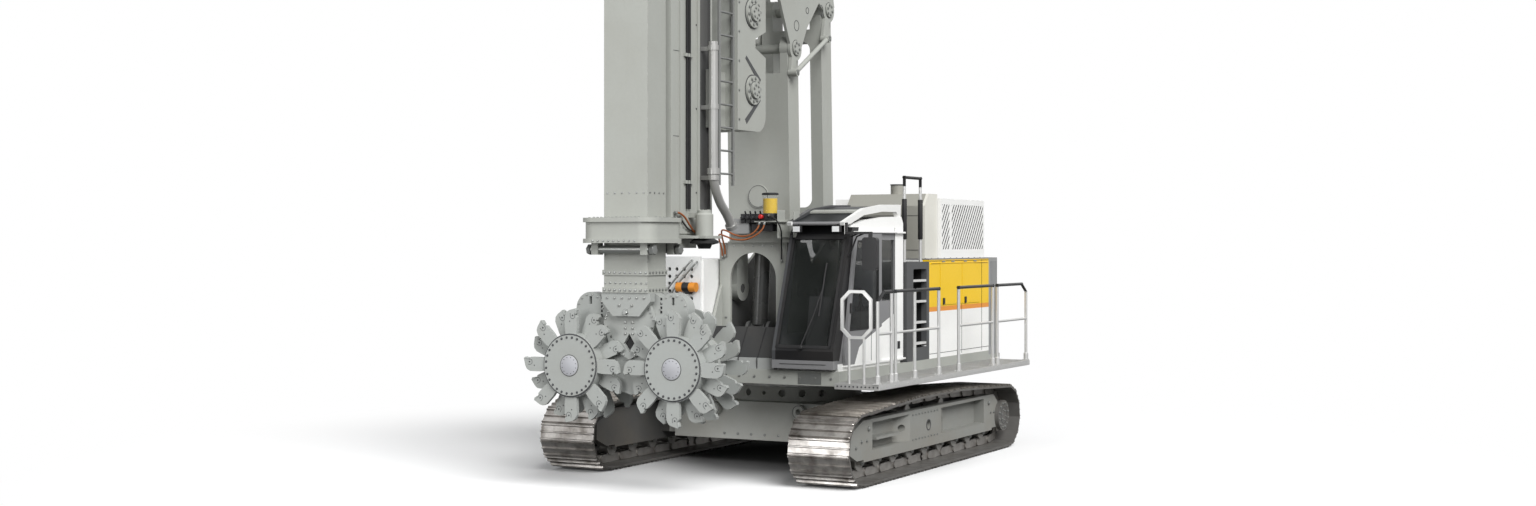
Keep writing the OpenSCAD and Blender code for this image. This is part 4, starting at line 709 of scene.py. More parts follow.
@piece(GREY, "leader", "grey_paint", bevel=0.004)
def swivel_block(b):
    b.box((0.29, 0.62), (-3.5, -3.12), (SWIVEL_FOOT, SWIVEL_SEAT))
    b.box((-0.3, 0.62), (-3.74, -3.66), (SWIVEL_FOOT, SWIVEL_SEAT))
    b.lathe((*SWIVEL, SWIVEL_SEAT), Z, [(0, 0.105), (0.25, 0.105), (0.27, 0.085), (0.3, 0.085)], 28)
    b.box((LEADER_X, 0.42), (-3.36, -3.28), (3.2, 3.26))
    b.bolt_circle((*SWIVEL, 3.285), Z, 0.06, 6, 0.01)


@piece(RUBBER, "leader", "cab_plastic")
def swivel_boot(b):
    profile = [(0, 0.12), (0.03, 0.17), (0.055, 0.17), (0.075, 0.09), (0.12, 0.07)]
    b.lathe((*SWIVEL, SWIVEL_FOOT), (0, 0, -1), profile, 32)


hose("foot_hose_a", [
    (0.325, -3.7, 3.254), (0.335, -3.62, 3.25), (0.352, -3.53, 3.205), (0.36, -3.43, 3.115),
    (0.362, -3.33, 3.04), (0.362, -3.22, 3.005), (0.35, -3.1, 3.002), (0.322, -2.99, 3.01),
], 0.024, HOSE, "leader")
hose("foot_hose_b", [
    (0.322, -3.7, 3.205), (0.33, -3.63, 3.196), (0.338, -3.56, 3.155), (0.343, -3.48, 3.095),
    (0.343, -3.4, 3.055), (0.336, -3.31, 3.04), (0.322, -3.22, 3.045),
], 0.02, RUBBER, "leader")

# slide, head and arms: places in the side view are (y, z)
SLIDE_X, SLIDE_AXIS_Y, SLIDE_AXIS_Z = 0.45, -2.04, (4.8, 5.758)
# painted shadows: dark wedges in a V on the slide's side plates, cast by its ribs
SLIDE_RIB_SHADOWS = (((-2.213, 5.2), (-1.843, 4.92)), ((-1.843, 4.7), (-2.213, 4.4)))
RIB_SHADOW_HALF, RIB_SHADOW_WIDENS = 0.022, 1.6
FRONT_TOP, REAR_TOP, TILT_AXIS = (-0.9483, 5.4285), (0.0217, 6.0285), (-1.7, 6.7)
HEAD_X, HEAD_PIN_X, STAY_X = 0.498, 0.519, 0.578
HEAD_MARKS = (((-0.93, 5.72), 0.062), ((-0.22, 6.00), 0.062), ((-0.62, 5.95), 0.035))
STAY_ENDS = ((-1.049, 5.102), (-0.11, 5.63))
ARM_PIPE = ((0.235, 3.35), (0.236, 4.2), (0.205, 5.4))
LINE = 0.003


def slide_details():
    bolts, marks = Shape(), Shape()
    for s in SIDES:
        axis = (s, 0, 0)
        for z in SLIDE_AXIS_Z:
            bolts.bolt_circle((s * 0.481, SLIDE_AXIS_Y, z), axis, 0.146, 10, 0.015)
            bolts.bolt_circle((s * 0.511, SLIDE_AXIS_Y, z), axis, 0.062, 6, 0.013)
            marks.ring((s * 0.4805, SLIDE_AXIS_Y, z), axis, 0.104, 0.112, LINE)
            marks.ring((s * SLIDE_X, SLIDE_AXIS_Y, z), axis, 0.181, 0.196, LINE)
        # painted shadows of the ribs
        for ends in SLIDE_RIB_SHADOWS:
            p, q = [Vector((s * 0.4495, *end)) for end in ends]
            n = Vector((0, p.z - q.z, q.y - p.y)).normalized() * RIB_SHADOW_HALF
            wide = n * RIB_SHADOW_WIDENS
            marks.prism([p - n, q - wide, q + wide, p + n], (s * 0.004, 0, 0))
        bolts.bolt_row((s * SLIDE_X, -2.38, 4.42), (0, 0, 0.36), 12, axis, 0.012)
    bolts.make("slide_bolts", BOLT, "slide", "bare_steel")
    marks.make("slide_rings_and_rib_shadows", DARK, "slide", "dark_paint")


slide_details()


def head_details():
    bolts, marks = Shape(), Shape()
    for s in SIDES:
        axis = (s, 0, 0)
        for p in (FRONT_TOP, REAR_TOP, TILT_AXIS):
            bolts.bolt_circle((s * HEAD_PIN_X, *p), axis, 0.066, 6, 0.014)
            marks.ring((s * HEAD_X, *p), axis, 0.1, 0.106, LINE)
        for p, r in HEAD_MARKS:
            marks.ring((s * HEAD_X, *p), axis, r, r + 0.009, LINE, 32)
        for p in STAY_ENDS:
            bolts.bolt_circle((s * STAY_X, *p), axis, 0.03, 4, 0.01)
            bolts.bolt((s * STAY_X, *p), axis, 0.01)
    bolts.make("head_bolts", BOLT, "head", "bare_steel")
    marks.make("head_marks", DARK, "head", "dark_paint")


head_details()


@piece(DARK, "front_arm", "dark_paint")
def arm_cover_seam(b):
    b.ring((0, -1.0556, 3.51), FRONT, 0.138, 0.1435, 0.002, 56)


@piece(DARK, "rear_arm", "bare_steel")
def arm_pipes(b):
    for s in SIDES:
        for x in (0.3, 0.36):
            b.tube(curve_points([(s * x, y, z) for y, z in ARM_PIPE], 12), 0.02)


# portal: pins, valve rack, grease pot
FRONT_LOW, REAR_LOW = (-0.85, 2.3), (0.12, 2.9)
PORTAL_FRONT = -1.195
RACK_BACK, RACK_FACE = -1.25, -1.42
RACK_PLATES = (
    ((-0.34, 0.58), (-1.26, -1.165), (2.905, 2.921)),
    ((-0.3, 0.56), (-1.26, -1.248), (2.92, 3.2)),
    ((0.16, 0.53), (-1.46, RACK_BACK), (3.165, 3.182)),
    ((0.485, 0.497), (-1.45, RACK_BACK), (2.96, 3.32)),
    ((0.498, 0.7), (-1.3, RACK_BACK), (2.97, 3.05)),
    ((0.69, 0.705), (-1.4, RACK_BACK), (2.97, 3.3)),
)
VALVES, VALVE_STEP, VALVE_W, VALVE_TOP = 7, 0.073, 0.064, 3.275
VALVE_FOOT = [3.16] * 3 + [3.184] * 4
POT = (0.34, -1.36)


@piece(BOLT, "upper", "bare_steel")
def portal_bolts(b):
    for s in SIDES:
        for p in (FRONT_LOW, REAR_LOW):
            b.bolt_circle((s * 0.522, *p), (s, 0, 0), 0.072, 6, 0.013)
        b.bolt_row((s * 0.4, PORTAL_FRONT, 1.45), (0, 0, 0.12), 5, FRONT, 0.012)
    b.bolt_row((-0.42, PORTAL_FRONT, 2.86), (0.14, 0, 0), 7, FRONT, 0.01)


@piece(GREY, "upper", "grey_paint", bevel=0.003)
def valve_rack(b):
    for plate in RACK_PLATES:
        b.box(*plate)


@piece(PLASTIC, "upper", "cab_plastic", bevel=0.003)
def valve_bank(b):
    for k in range(VALVES):
        x = -0.06 + VALVE_STEP * k
        middle = x + VALVE_W / 2
        b.box(up(x, VALVE_W), (RACK_FACE, -1.262), (VALVE_FOOT[k], VALVE_TOP))
        b.rod((middle, -1.34, 3.27), (middle, -1.36, 3.31), 0.012, 10)
        b.lathe((middle, RACK_FACE, 3.225), FRONT, [(0, 0.024), (0.03, 0.024), (0.036, 0.018)], 16)
    b.box((0.1, 0.4), (RACK_FACE, -1.27), (3.05, 3.14))
    b.lathe((*POT, 3.515), Z, [(0, 0.108), (0.02, 0.108), (0.028, 0.09)], 32)
    b.lathe((*POT, 3.182), Z, [(0, 0.106), (0.085, 0.106), (0.095, 0.1)], 32)


@piece(BALLAST, "upper", "dark_paint", bevel=0.006)
def valve_case(b):
    b.box((-0.215, 0.045), (-1.4, -1.262), (3.02, 3.215))
    for x in (-0.2, 0.03):
        for z in (3.035, 3.2):
            b.bolt((x, -1.4, z), FRONT, 0.006)


@piece(RED, "upper", "cab_plastic")
def rack_knob(b):
    b.lathe((0.265, -1.462, 3.235), FRONT, [(-0.045, 0.02), (0, 0.028), (0.03, 0.03), (0.04, 0.022)], 20)


@piece(GREASE, "upper", "cab_plastic")
def pot_grease(b):
    b.disc((*POT, 3.28), Z, 0, 0.19, 0.092, 32)


@piece(CLEAR, "upper", "tinted_glass")
def pot_glass(b):
    b.disc((*POT, 3.275), Z, 0, 0.24, 0.102, 32)


hose("rack_hose_a", [
    (-0.4, -1.218, 2.72), (-0.4, -1.235, 2.84), (-0.4, -1.3, 2.97), (-0.35, -1.4, 3.06),
    (-0.24, -1.48, 3.06), (-0.11, -1.515, 3.01), (0.02, -1.52, 2.985), (0.14, -1.505, 3.01),
    (0.215, -1.475, 3.085), (0.235, -1.455, 3.16),
], 0.022, HOSE, "upper")
hose("rack_hose_b", [
    (-0.44, -1.218, 2.7), (-0.44, -1.245, 2.83), (-0.43, -1.33, 2.95), (-0.36, -1.44, 3.01),
    (-0.22, -1.525, 2.985), (-0.07, -1.56, 2.945), (0.09, -1.555, 2.945), (0.22, -1.525, 3.00),
    (0.295, -1.485, 3.08), (0.31, -1.455, 3.16),
], 0.022, HOSE, "upper")
hose("rack_hose_c", [
    (0.43, -1.217, 2.66), (0.44, -1.235, 2.78), (0.47, -1.3, 2.91), (0.52, -1.395, 3.01),
    (0.545, -1.48, 3.1), (0.51, -1.52, 3.19), (0.43, -1.505, 3.235), (0.376, -1.466, 3.25),
], 0.02, RUBBER, "upper")

# front cover and deck edge
COVER_SLOPE = ((-1.7225, 1.452), (-1.494, 1.828))
SEAM_W = 0.01
DECK_FRONT = -1.75


@piece(RUBBER, "upper", "dark_paint")
def cover_seams(b):
    (y0, z0), (y1, z1) = COVER_SLOPE
    for x in (0.075, 0.345):
        x1 = x + SEAM_W
        b.prism([(x, y0, z0), (x1, y0, z0), (x1, y1, z1), (x, y1, z1)], (0, -0.004, 0.0))
        b.box((x, x1), (-1.742, -1.736), (1.315, z0))


@piece(BOLT, "upper", "bare_steel")
def deck_front_bolts(b):
    b.bolt_row((-1.4, DECK_FRONT, 1.22), (0.215, 0, 0), 14, FRONT, 0.012)
    for s in SIDES:
        b.box(span(s * 1.1, 0.16), (DECK_FRONT - 0.006, DECK_FRONT), (1.15, 1.29))


# cab: seat and controls stand on the floor, round the cab's middle
CAB_X = (0.61 + 1.46) / 2
CAB_FLOOR = 1.385
PAD_CUTS, PAD_ROUND, PAD_PULL, PAD_CORNER, PAD_EDGE = 9, 0.1, 0.05, 0.06, 0.72
STITCH_AT, STITCH_W, STITCH_DEEP = 0.55, 0.05, 0.1
JOYSTICK = [
    (0, 0.04), (0.02, 0.03), (0.07, 0.014), (0.12, 0.014), (0.13, 0.026), (0.22, 0.028), (0.235, 0.018),
]
PEDAL = ((-1.3, 0.0), (-1.24, 0.0), (-1.4, 0.22), (-1.43, 0.22))
DISPLAY = ((-1.22, 0.92), (-1.24, 1.18), (-1.21, 1.18), (-1.19, 0.92))


def pad_point(u, w, t, crown):
    """A point of the block, from -1 to 1, moved to pull the sides in, sew the seams and crown the top."""
    shrink = 1 - PAD_ROUND * abs(t) ** 3
    across = u * shrink * (1 - PAD_PULL * (1 - w * w)) * (1 - PAD_CORNER * w ** 4 * u * u)
    along = w * shrink * (1 - PAD_PULL * (1 - u * u)) * (1 - PAD_CORNER * u ** 4 * w * w)
    stitch = 1 - STITCH_DEEP * math.exp(-((abs(u) - STITCH_AT) / STITCH_W) ** 2)
    thick = t * (PAD_EDGE + (1 - PAD_EDGE) * (1 - u ** 4) * (1 - w ** 4)) * stitch
    if t > 0:
        thick += crown * (1 - u * u) * (1 - w * w)
    return across, along, thick


def cushion(name, lo, hi, crown=0.0, lean=0.0):
    """A crowned pad between two corners, which leans back by a share of its height."""
    lo, hi = Vector(lo), Vector(hi)
    middle, half = (lo + hi) / 2, (hi - lo) / 2
    bm = bmesh.new()
    bmesh.ops.create_cube(bm, size=2)
    bmesh.ops.subdivide_edges(bm, edges=bm.edges[:], cuts=PAD_CUTS, use_grid_fill=True)
    thin = min(range(3), key=lambda i: half[i])
    order = [i for i in range(3) if i != thin] + [thin]
    for v in bm.verts:
        moved = pad_point(*[v.co[i] for i in order], crown / half[thin])
        for i, value in zip(order, moved):
            v.co[i] = middle[i] + value * half[i]
        v.co.y += lean * (v.co.z - lo.z)
    mesh = bpy.data.meshes.new(name)
    bm.to_mesh(mesh)
    bm.free()
    mesh.materials.append(FABRIC)
    mesh.shade_smooth()
    o = add_piece(name, mesh, "upper")
    o.modifiers.new("soft", "SUBSURF").levels = 1


def seat():
    x, z = CAB_X, CAB_FLOOR
    cushion("seat_pad", (x - 0.26, -0.8, z + 0.52), (x + 0.26, -0.24, z + 0.64), crown=0.02)
    cushion("seat_back", (x - 0.25, -0.345, z + 0.62), (x + 0.25, -0.225, z + 1.24), lean=0.279)
    cushion("head_rest", (x - 0.14, -0.12, z + 1.27), (x + 0.14, -0.02, z + 1.46))


seat()


@piece(PLASTIC, "upper", "cab_plastic", bevel=0.004)
def cab_controls(b):
    for s in SIDES:
        x = CAB_X + s * 0.31
        b.box(span(x, 0.045), (-0.86, -0.3), up(CAB_FLOOR + 0.64, 0.06))
        b.lathe((x, -0.78, CAB_FLOOR + 0.7), Z, JOYSTICK, 16)
        stay = CAB_X + s * 0.09
        b.rod((stay, -0.1, CAB_FLOOR + 1.2), (stay, -0.07, CAB_FLOOR + 1.29), 0.009, 10)
        pedal = CAB_X + s * 0.11 - 0.06
        b.prism([(pedal, y, CAB_FLOOR + z) for y, z in PEDAL], (0.12, 0, 0))
        lever = CAB_X + s * 0.07
        b.rod((lever, -1.26, CAB_FLOOR + 0.05), (lever, -1.1, CAB_FLOOR + 0.78), 0.012, 10)
    b.prism([(CAB_X + 0.22, y, CAB_FLOOR + z) for y, z in DISPLAY], (0.15, 0, 0))
    b.rod((CAB_X + 0.29, -1.22, CAB_FLOOR + 0.02), (CAB_X + 0.29, -1.21, CAB_FLOOR + 0.95), 0.018, 12)


@piece(SCREEN_GLASS, "upper", "cab_plastic")
def cab_screen(b):
    b.box(span(CAB_X + 0.295, 0.06), (-1.2065, -1.2015), up(CAB_FLOOR + 0.95, 0.2))


# windscreen, door and roof guard
SCREEN_FOOT = (-1.83, 1.56)
SLANT = Vector((0, 0.5, 1.45)).normalized()
OUT = Vector((0, -SLANT.z, SLANT.y))
# bars of the windscreen's frame: limits across it and up along it
SCREEN_FRAME = (
    (0.655, 0.69, 0.04, 1.5), (1.38, 1.415, 0.04, 1.5),
    (0.655, 1.415, 0.035, 0.075), (0.655, 1.415, 1.465, 1.505),
)
WIPER_X = CAB_X - 0.02
BLADE_X = CAB_X + 0.16
DOOR_X, SEAL_W = 1.502, 0.03
DOOR_PANE = ((-1.44, 1.8), (-1.205, 2.935), (-0.56, 2.935), (-0.56, 1.8))
CAB_SIDE = 1.4605
ROOF_Z, ROOF_X0, ROOF_W, SHEET_T = 3.25, 0.712, 0.676, 0.007
# the roof sheet's bend: y, height above the roof
ROOF_SHEET = (
    (-1.42, -0.085), (-1.18, -0.038), (-0.96, 0.023), (-0.74, 0.074),
    (-0.52, 0.096), (-0.3, 0.118), (0.08, 0.128),
)
ROOF_BEAM = ((-0.97, 0.03), (-0.86, 0.055), (-0.86, 0.08), (-0.97, 0.055))
LAMP_Z = 3.075
MIRROR_STAYS = (
    ((1.47, -1.4, 2.72), (1.6, -1.44, 2.98), (1.72, -1.46, 3.025)),
    ((1.47, -1.33, 2.98), (1.6, -1.4, 3.02), (1.72, -1.45, 3.03)),
)


def on_screen(x, along, out):
    """A point on the windscreen: across, up along it from its foot, and out of it."""
    return Vector((x, *SCREEN_FOOT)) + SLANT * along + OUT * out


@piece(RUBBER, "upper", "cab_plastic")
def screen_trim(b):
    """Seal round the windscreen, and the wiper."""
    for x0, x1, a0, a1 in SCREEN_FRAME:
        corners = ((x0, a0), (x1, a0), (x1, a1), (x0, a1))
        b.prism([on_screen(x, a, -0.012) for x, a in corners], OUT * 0.018)
    b.tube([on_screen(WIPER_X, 0.04, 0.03), on_screen(CAB_X + 0.1, 0.45, 0.035),
            on_screen(BLADE_X, 0.8, 0.012)], 0.01)
    b.tube([on_screen(BLADE_X, 0.45, 0.006), on_screen(BLADE_X, 1.15, 0.006)], 0.012)
    b.lathe(on_screen(WIPER_X, 0.04, -0.01), OUT, [(0, 0.03), (0.045, 0.03), (0.055, 0.02)], 16)


@piece(RUBBER, "cab_door", "cab_plastic")
def door_seal(b):
    """Seal round the door's pane and a split line below it, which slide with the door."""
    outer = [Vector(p) for p in DOOR_PANE]
    middle = sum(outer, Vector((0, 0))) / len(outer)
    inner = [p + (middle - p).normalized() * SEAL_W for p in outer]
    for i in range(len(outer)):
        j = (i + 1) % len(outer)
        corners = (outer[i], outer[j], inner[j], inner[i])
        b.prism([(DOOR_X - 0.004, *p) for p in corners], (0.006, 0, 0))
    b.box((DOOR_X - 0.003, DOOR_X + 0.002), (-0.8, -0.79), (1.4, 1.8))


@piece(RUBBER, "upper", "cab_plastic")
def cab_seams(b):
    b.box((CAB_SIDE, 1.464), (0.03, 0.036), (1.36, 3.1))
    b.box((CAB_SIDE, 1.465), (0.12, 0.2), (1.5, 1.6))
    b.box((0.72, 1.36), (-1.835, -1.829), (1.395, 1.4))


@piece(ROOF_GLASS, "upper", "tinted_glass")
def roof_sheet(b):
    """Tinted sheet on the bars of the roof guard."""
    above = [(ROOF_X0, y, ROOF_Z + z + SHEET_T) for y, z in ROOF_SHEET]
    below = [(ROOF_X0, y, ROOF_Z + z) for y, z in reversed(ROOF_SHEET)]
    b.prism(above + below, (ROOF_W, 0, 0))


@piece(GREY, "upper", "grey_paint", bevel=0.004)
def roof_beam(b):
    b.prism([(0.711, y, ROOF_Z + z) for y, z in ROOF_BEAM], (0.678, 0, 0))
    for x in (0.75, 0.9, 1.2, 1.35):
        b.bolt((x, -0.915, ROOF_Z + 0.067), (0, -0.22, 1), 0.008)


def roof_lamps():
    cases, glass = Shape(), Shape()
    for x in (0.8, 1.35):
        cases.box(span(x, 0.055), (-1.525, -1.465), span(LAMP_Z, 0.04))
        cases.box(span(x, 0.01), (-1.475, -1.445), (LAMP_Z + 0.03, LAMP_Z + 0.065))
        glass.box(span(x, 0.047), (-1.532, -1.524), span(LAMP_Z, 0.034))
    cases.make("roof_lamps", PLASTIC, "upper", "cab_plastic", bevel=0.006)
    glass.make("roof_lamp_glass", LENS, "upper", "tinted_glass")


roof_lamps()


@piece(RUBBER, "upper", "cab_plastic")
def mirror_stays(b):
    for stay in MIRROR_STAYS:
        b.tube(stay, 0.011)


@piece(CHROME, "upper", "chrome_rod")
def mirror_glass(b):
    """The glass alone: the mirror's housing is one of the solids."""
    b.box((1.717, 1.877), (-1.4195, -1.417), (2.6, 2.93))


# right-hand panel: dark discs of painted shade in its holes, and two bent rods
PANEL_X, PANEL_STEP, PANEL_FRONT, PANEL_BACK = -1.35, 0.11, -1.601, -1.566
PANEL_ROD = ((-0.6, -1.602, 2.66), (-0.63, -1.66, 2.6), (-0.9, -1.69, 2.3), (-1.1, -1.66, 2.00),
             (-1.12, -1.602, 1.96))
ROD_SHIFT = (-0.08, 0, 0.02)


@piece(BOLT, "upper", "bare_steel")
def panel_rods(b):
    for k in range(2):
        line = [Vector(p) + Vector(ROD_SHIFT) * k for p in PANEL_ROD]
        b.tube(curve_points(line, 24), 0.012)


# painted shade: dark discs behind and in the panel's holes
@piece(RUBBER, "upper", "cab_plastic")
def panel_hole_shade(b):
    for i in range(7):
        x = PANEL_X + PANEL_STEP * i
        for j in range(5):
            b.disc((x, PANEL_BACK, 2.18 + 0.095 * j), Y, 0, 0.004, 0.0255, 20)
        for z in (2.085, 1.99):
            b.disc((x, PANEL_FRONT, z), Y, -0.002, 0.002, 0.024, 20)


# hood: seams, hinges, grille fields, tail lamps
HOOD_SIDE, HOOD_TOP, HOOD_ENDS = 1.5015, 2.685, (1.112, 3.355)
HOOD_SEAM_Y = (1.49, 2.2925, 3.075)
SEAM_TOP, SEAM_UNDER_FLAPS = 2.66, 2.036
GRILLE_BAR = ((0.0, 3.515), (0.004, 3.515), (0.038, 3.495), (0.034, 3.495))
TAIL_X, TAIL_Y, TAIL_Z = 0.98, 3.945, 1.39
BALLAST_FACE = (3.9285, 3.9325)


@piece(RUBBER, "upper", "cab_plastic")
def hood_seams(b):
    for s in SIDES:
        thick = span(s * HOOD_SIDE, 0.0015)
        for y in HOOD_SEAM_Y:
            plain = s < 0 or y == HOOD_SEAM_Y[-1]
            b.box(thick, span(y, 0.004), (1.33, SEAM_TOP if plain else SEAM_UNDER_FLAPS))
        b.box(thick, HOOD_ENDS, (2.648, 2.655))
        b.box(thick, HOOD_ENDS, (1.372, 1.378))
    b.box((-1.503, -1.5), (HOOD_SEAM_Y[0], HOOD_SEAM_Y[-1]), (SEAM_UNDER_FLAPS, 2.042))


@piece(BOLT, "upper", "bare_steel", bevel=0.002)
def hood_fittings(b):
    for s in SIDES:
        b.bolt_row((s * 1.4, 1.2, HOOD_TOP), (0, 0.23, 0), 10, Z, 0.01)
    for y in (1.6, 1.95, 2.42, 2.8):
        b.box((1.5005, 1.512), span(y, 0.05), (2.632, 2.652))


@piece(DARK, "upper", "dark_paint")
def roof_grille(b):
    for k in range(21):
        x = -0.16 + 0.069 * k
        b.prism([(x + dx, 1.99, z) for dx, z in GRILLE_BAR], (0, 1.46, 0))
    for y in (2.0, 2.36, 2.72, 3.08, 3.43):
        b.box((-0.195, 1.245), span(y, 0.006), (3.484, 3.494))


@piece(DARK, "upper", "dark_paint")
def side_grille(b):
    for k in range(34):
        b.box((-1.478, -1.473), span(1.5 + 0.03 * k, 0.004), (1.66, 2.6))
    b.box((-1.472, -1.468), (1.46, 2.54), (1.62, 2.62))


def tail_lamps():
    cases, lenses = Shape(), Shape()
    for s in SIDES:
        cases.box(span(s * TAIL_X, 0.16), (3.925, TAIL_Y), span(TAIL_Z, 0.06))
        for x in span(s * TAIL_X, 0.07):
            lenses.lathe((x, TAIL_Y, TAIL_Z), Y, [(0, 0.045), (0.008, 0.045), (0.016, 0.03)], 24)
    cases.make("tail_lamp_cases", PLASTIC, "upper", "cab_plastic", bevel=0.006)
    lenses.make("tail_lamp_lenses", TAIL, "upper", "cab_plastic")


tail_lamps()


@piece(DARK, "upper", "dark_paint")
def ballast_seams(b):
    for s in SIDES:
        b.box(span(s * 0.62, 0.004), BALLAST_FACE, (1.27, 2.66))
        b.lathe((s * 0.7, 3.64, HOOD_TOP), Z, [(0, 0.075), (0.012, 0.075), (0.018, 0.06), (0.004, 0.045)], 32)
    b.box((-1.22, 1.22), BALLAST_FACE, (1.95, 1.958))


@piece(DARK, "upper", "dark_paint")
def exhaust_rim(b):
    profile = [(-0.002, 0.102), (0.012, 0.102), (0.012, 0.085), (-0.03, 0.083), (-0.03, 0.001)]
    b.lathe((0.76, 1.7, 3.72), Z, profile, 32)
    for z in (2.8, 3.28):
        b.box((0.16, 1.24), (1.4155, 1.42), up(z, 0.006))


# walkway: tread, feet of the posts, sleeves of the boarding rail
WALK_TOP, FOOT_TOP = 1.18, 1.192
RAIL_X = 2.1 - 0.012 - 0.021
POST_Y = (-1.84, -1.43, -1.31, -0.71, 0.08, 0.77, 2.04, 2.22, 3.4)
EDGE_X, EDGE_Z = 2.1065, 1.147


@piece(DECK, "upper", "grey_paint")
def walkway_tread(b):
    for k in range(176):
        b.box((1.52, 2.08), up(-1.855 + 0.03 * k, 0.006), up(WALK_TOP, 0.006))
    for k in range(5):
        b.box(up(1.55 + 0.12 * k, 0.006), (-1.86, 3.44), up(WALK_TOP, 0.005))


@piece(ALU, "upper", "rail_alu")
def rail_feet(b):
    for y in POST_Y:
        b.box((RAIL_X - 0.045, RAIL_X + 0.033), span(y, 0.05), (WALK_TOP, FOOT_TOP))
        b.lathe((RAIL_X, y, FOOT_TOP), Z, [(0, 0.034), (0.09, 0.034), (0.1, 0.026)], 16)
        for dx in (-0.032, 0.022):
            for dy in (-0.036, 0.036):
                b.bolt((RAIL_X + dx, y + dy, FOOT_TOP), Z, 0.007)
    b.box((2.0985, EDGE_X), (-1.87, 3.45), (1.115, 1.178))
    b.bolt_row((EDGE_X, -1.8, EDGE_Z), (0, 0.133, 0), 40, X, 0.007)


@piece(RUBBER, "upper", "cab_plastic")
def rail_sleeves(b):
    for y in (0.395, 0.935):
        b.lathe((1.44, y, 2.95), Z, [(0, 0.03), (0.006, 0.034), (0.534, 0.034), (0.54, 0.03)], 20)


# painted shade: dark discs for the walkway's front holes
@piece(DARK, "upper", "dark_paint")
def walkway_front_hole_shade(b):
    for k in range(11):
        b.disc((1.54 + 0.054 * k, -1.8705, EDGE_Z), FRONT, 0, 0.003, 0.011, 14)


# tracks: separate shoes, links and pins in place of the plain loops
WRAP_R, GROUSER, PLATE, CHAIN_H, SHOE_W, SHOE_CHAMFER = 0.424, 0.028, 0.024, 0.112, 0.8, 0.012
TRACK_X = (4.34 - SHOE_W) / 2
WRAP_Y, WRAP_Z = 2.9 - GROUSER - WRAP_R, GROUSER + WRAP_R
CROWN_Z, CROWN_HALF = WRAP_Z + WRAP_R + 0.078, 0.7
CROWN_D = math.hypot(CROWN_HALF - WRAP_Y, CROWN_Z - WRAP_Z)
TANGENT = math.atan2(CROWN_Z - WRAP_Z, CROWN_HALF - WRAP_Y) - math.acos(WRAP_R / CROWN_D)
ARC, SLOPE = WRAP_R * (TANGENT + math.pi / 2), math.sqrt(CROWN_D ** 2 - WRAP_R ** 2)
HALF = WRAP_Y + ARC + SLOPE + CROWN_HALF
SHOES = round(2 * HALF / 0.218)
PITCH = 2 * HALF / SHOES
# one shoe's outline: share of the pitch, height above the plate
TIP = 0.93 * GROUSER
SHOE = (
    (0.012, -PLATE), (0.012, 0.0), (0.035, 0.0), (0.058, TIP), (0.1, TIP), (0.15, 0.0),
    (0.44, 0.0), (0.475, TIP), (0.525, TIP), (0.56, 0.0), (0.85, 0.0), (0.895, TIP), (0.94, TIP),
    (0.972, 0.0), (0.988, 0.0), (0.988, -PLATE),
)
WORN_EDGES = range(1, 14)
STEEL_SLOT, WORN_SLOT, LINK_SLOT = 0, 1, 2
LINK_X, LINK_T, LINK_STAGGER = 0.082, 0.03, 0.01


def wrap_point(angle):
    return Vector((WRAP_Y + WRAP_R * math.cos(angle), WRAP_Z + WRAP_R * math.sin(angle)))


def half_path(s):
    """A point (y, z) of the chain's front half, at a distance from the middle of the ground run."""
    if s < WRAP_Y:
        return Vector((s, GROUSER))
    if s < WRAP_Y + ARC:
        return wrap_point((s - WRAP_Y) / WRAP_R - math.pi / 2)
    if s < WRAP_Y + ARC + SLOPE:
        share = (s - WRAP_Y - ARC) / SLOPE
        return wrap_point(TANGENT) * (1 - share) + Vector((CROWN_HALF, CROWN_Z)) * share
    return Vector((HALF - s, CROWN_Z))


def track_path(s):
    s %= 2 * HALF
    if s <= HALF:
        return half_path(s)
    p = half_path(2 * HALF - s)
    return Vector((-p.x, p.y))


def round_bar(p, q, w, n=8):
    """Outline of a bar with round ends between two 2-D points."""
    d = (q - p).normalized()
    turn = math.atan2(d.y, d.x) - math.pi / 2
    pts = []
    for end in (q, p):
        for k in range(n + 1):
            angle = turn + math.pi * k / n
            pts.append(end + Vector((math.cos(angle), math.sin(angle))) * w)
        turn += math.pi
    return pts


def shoe(b, x, a, along, out):
    """One shoe between x limits round the track's middle, with its grousers cut back at both ends."""
    rows = []
    half = SHOE_W / 2
    for dx, pull in ((-half, 0.01), (SHOE_CHAMFER - half, 0.0), (half - SHOE_CHAMFER, 0.0), (half, 0.01)):
        outline = [a + along * share + out * (h - (pull if h > 0 else 0)) for share, h in SHOE]
        rows.append([Vector((x + dx, *p)) for p in outline])
    sides = b.rings(rows)[:-2]
    for i, face in enumerate(sides):
        if i % len(SHOE) in WORN_EDGES:
            face.material_index = WORN_SLOT


def links(b, x, stagger, a, along, out):
    """Two link plates with their pin."""
    inward = out * (-PLATE - CHAIN_H * 0.5)
    p, q = a + along * 0.04 + inward, a + along * 0.96 + inward
    for side in SIDES:
        plate = x + side * (LINK_X + stagger) - LINK_T / 2
        b.prism([(plate, *v) for v in round_bar(p, q, CHAIN_H * 0.46)], (LINK_T, 0, 0))
        cap = [(-0.006, 0.024), (0.0, 0.024), (0.001, 0.02)]
        b.lathe((x + side * 0.1045, *p), (side, 0, 0), cap, 14)
    b.rod((x - 0.103, *p), (x + 0.103, *p), 0.026, 12)


def track(s, node):
    b = Shape()
    for i in range(SHOES):
        a = track_path(i * PITCH)
        along = track_path((i + 1) * PITCH) - a
        out = Vector((along.y, -along.x)).normalized()
        b.index = STEEL_SLOT
        shoe(b, s * TRACK_X, a, along, out)
        b.index = LINK_SLOT
        links(b, s * TRACK_X, LINK_STAGGER if i % 2 else -LINK_STAGGER, a, along, out)
    o = b.make(node + "_shoes", [TRACK, WORN, LINK], "undercarriage", "worn_steel", smooth=25)
    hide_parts(node)


track(1, "track_left")
track(-1, "track_right")

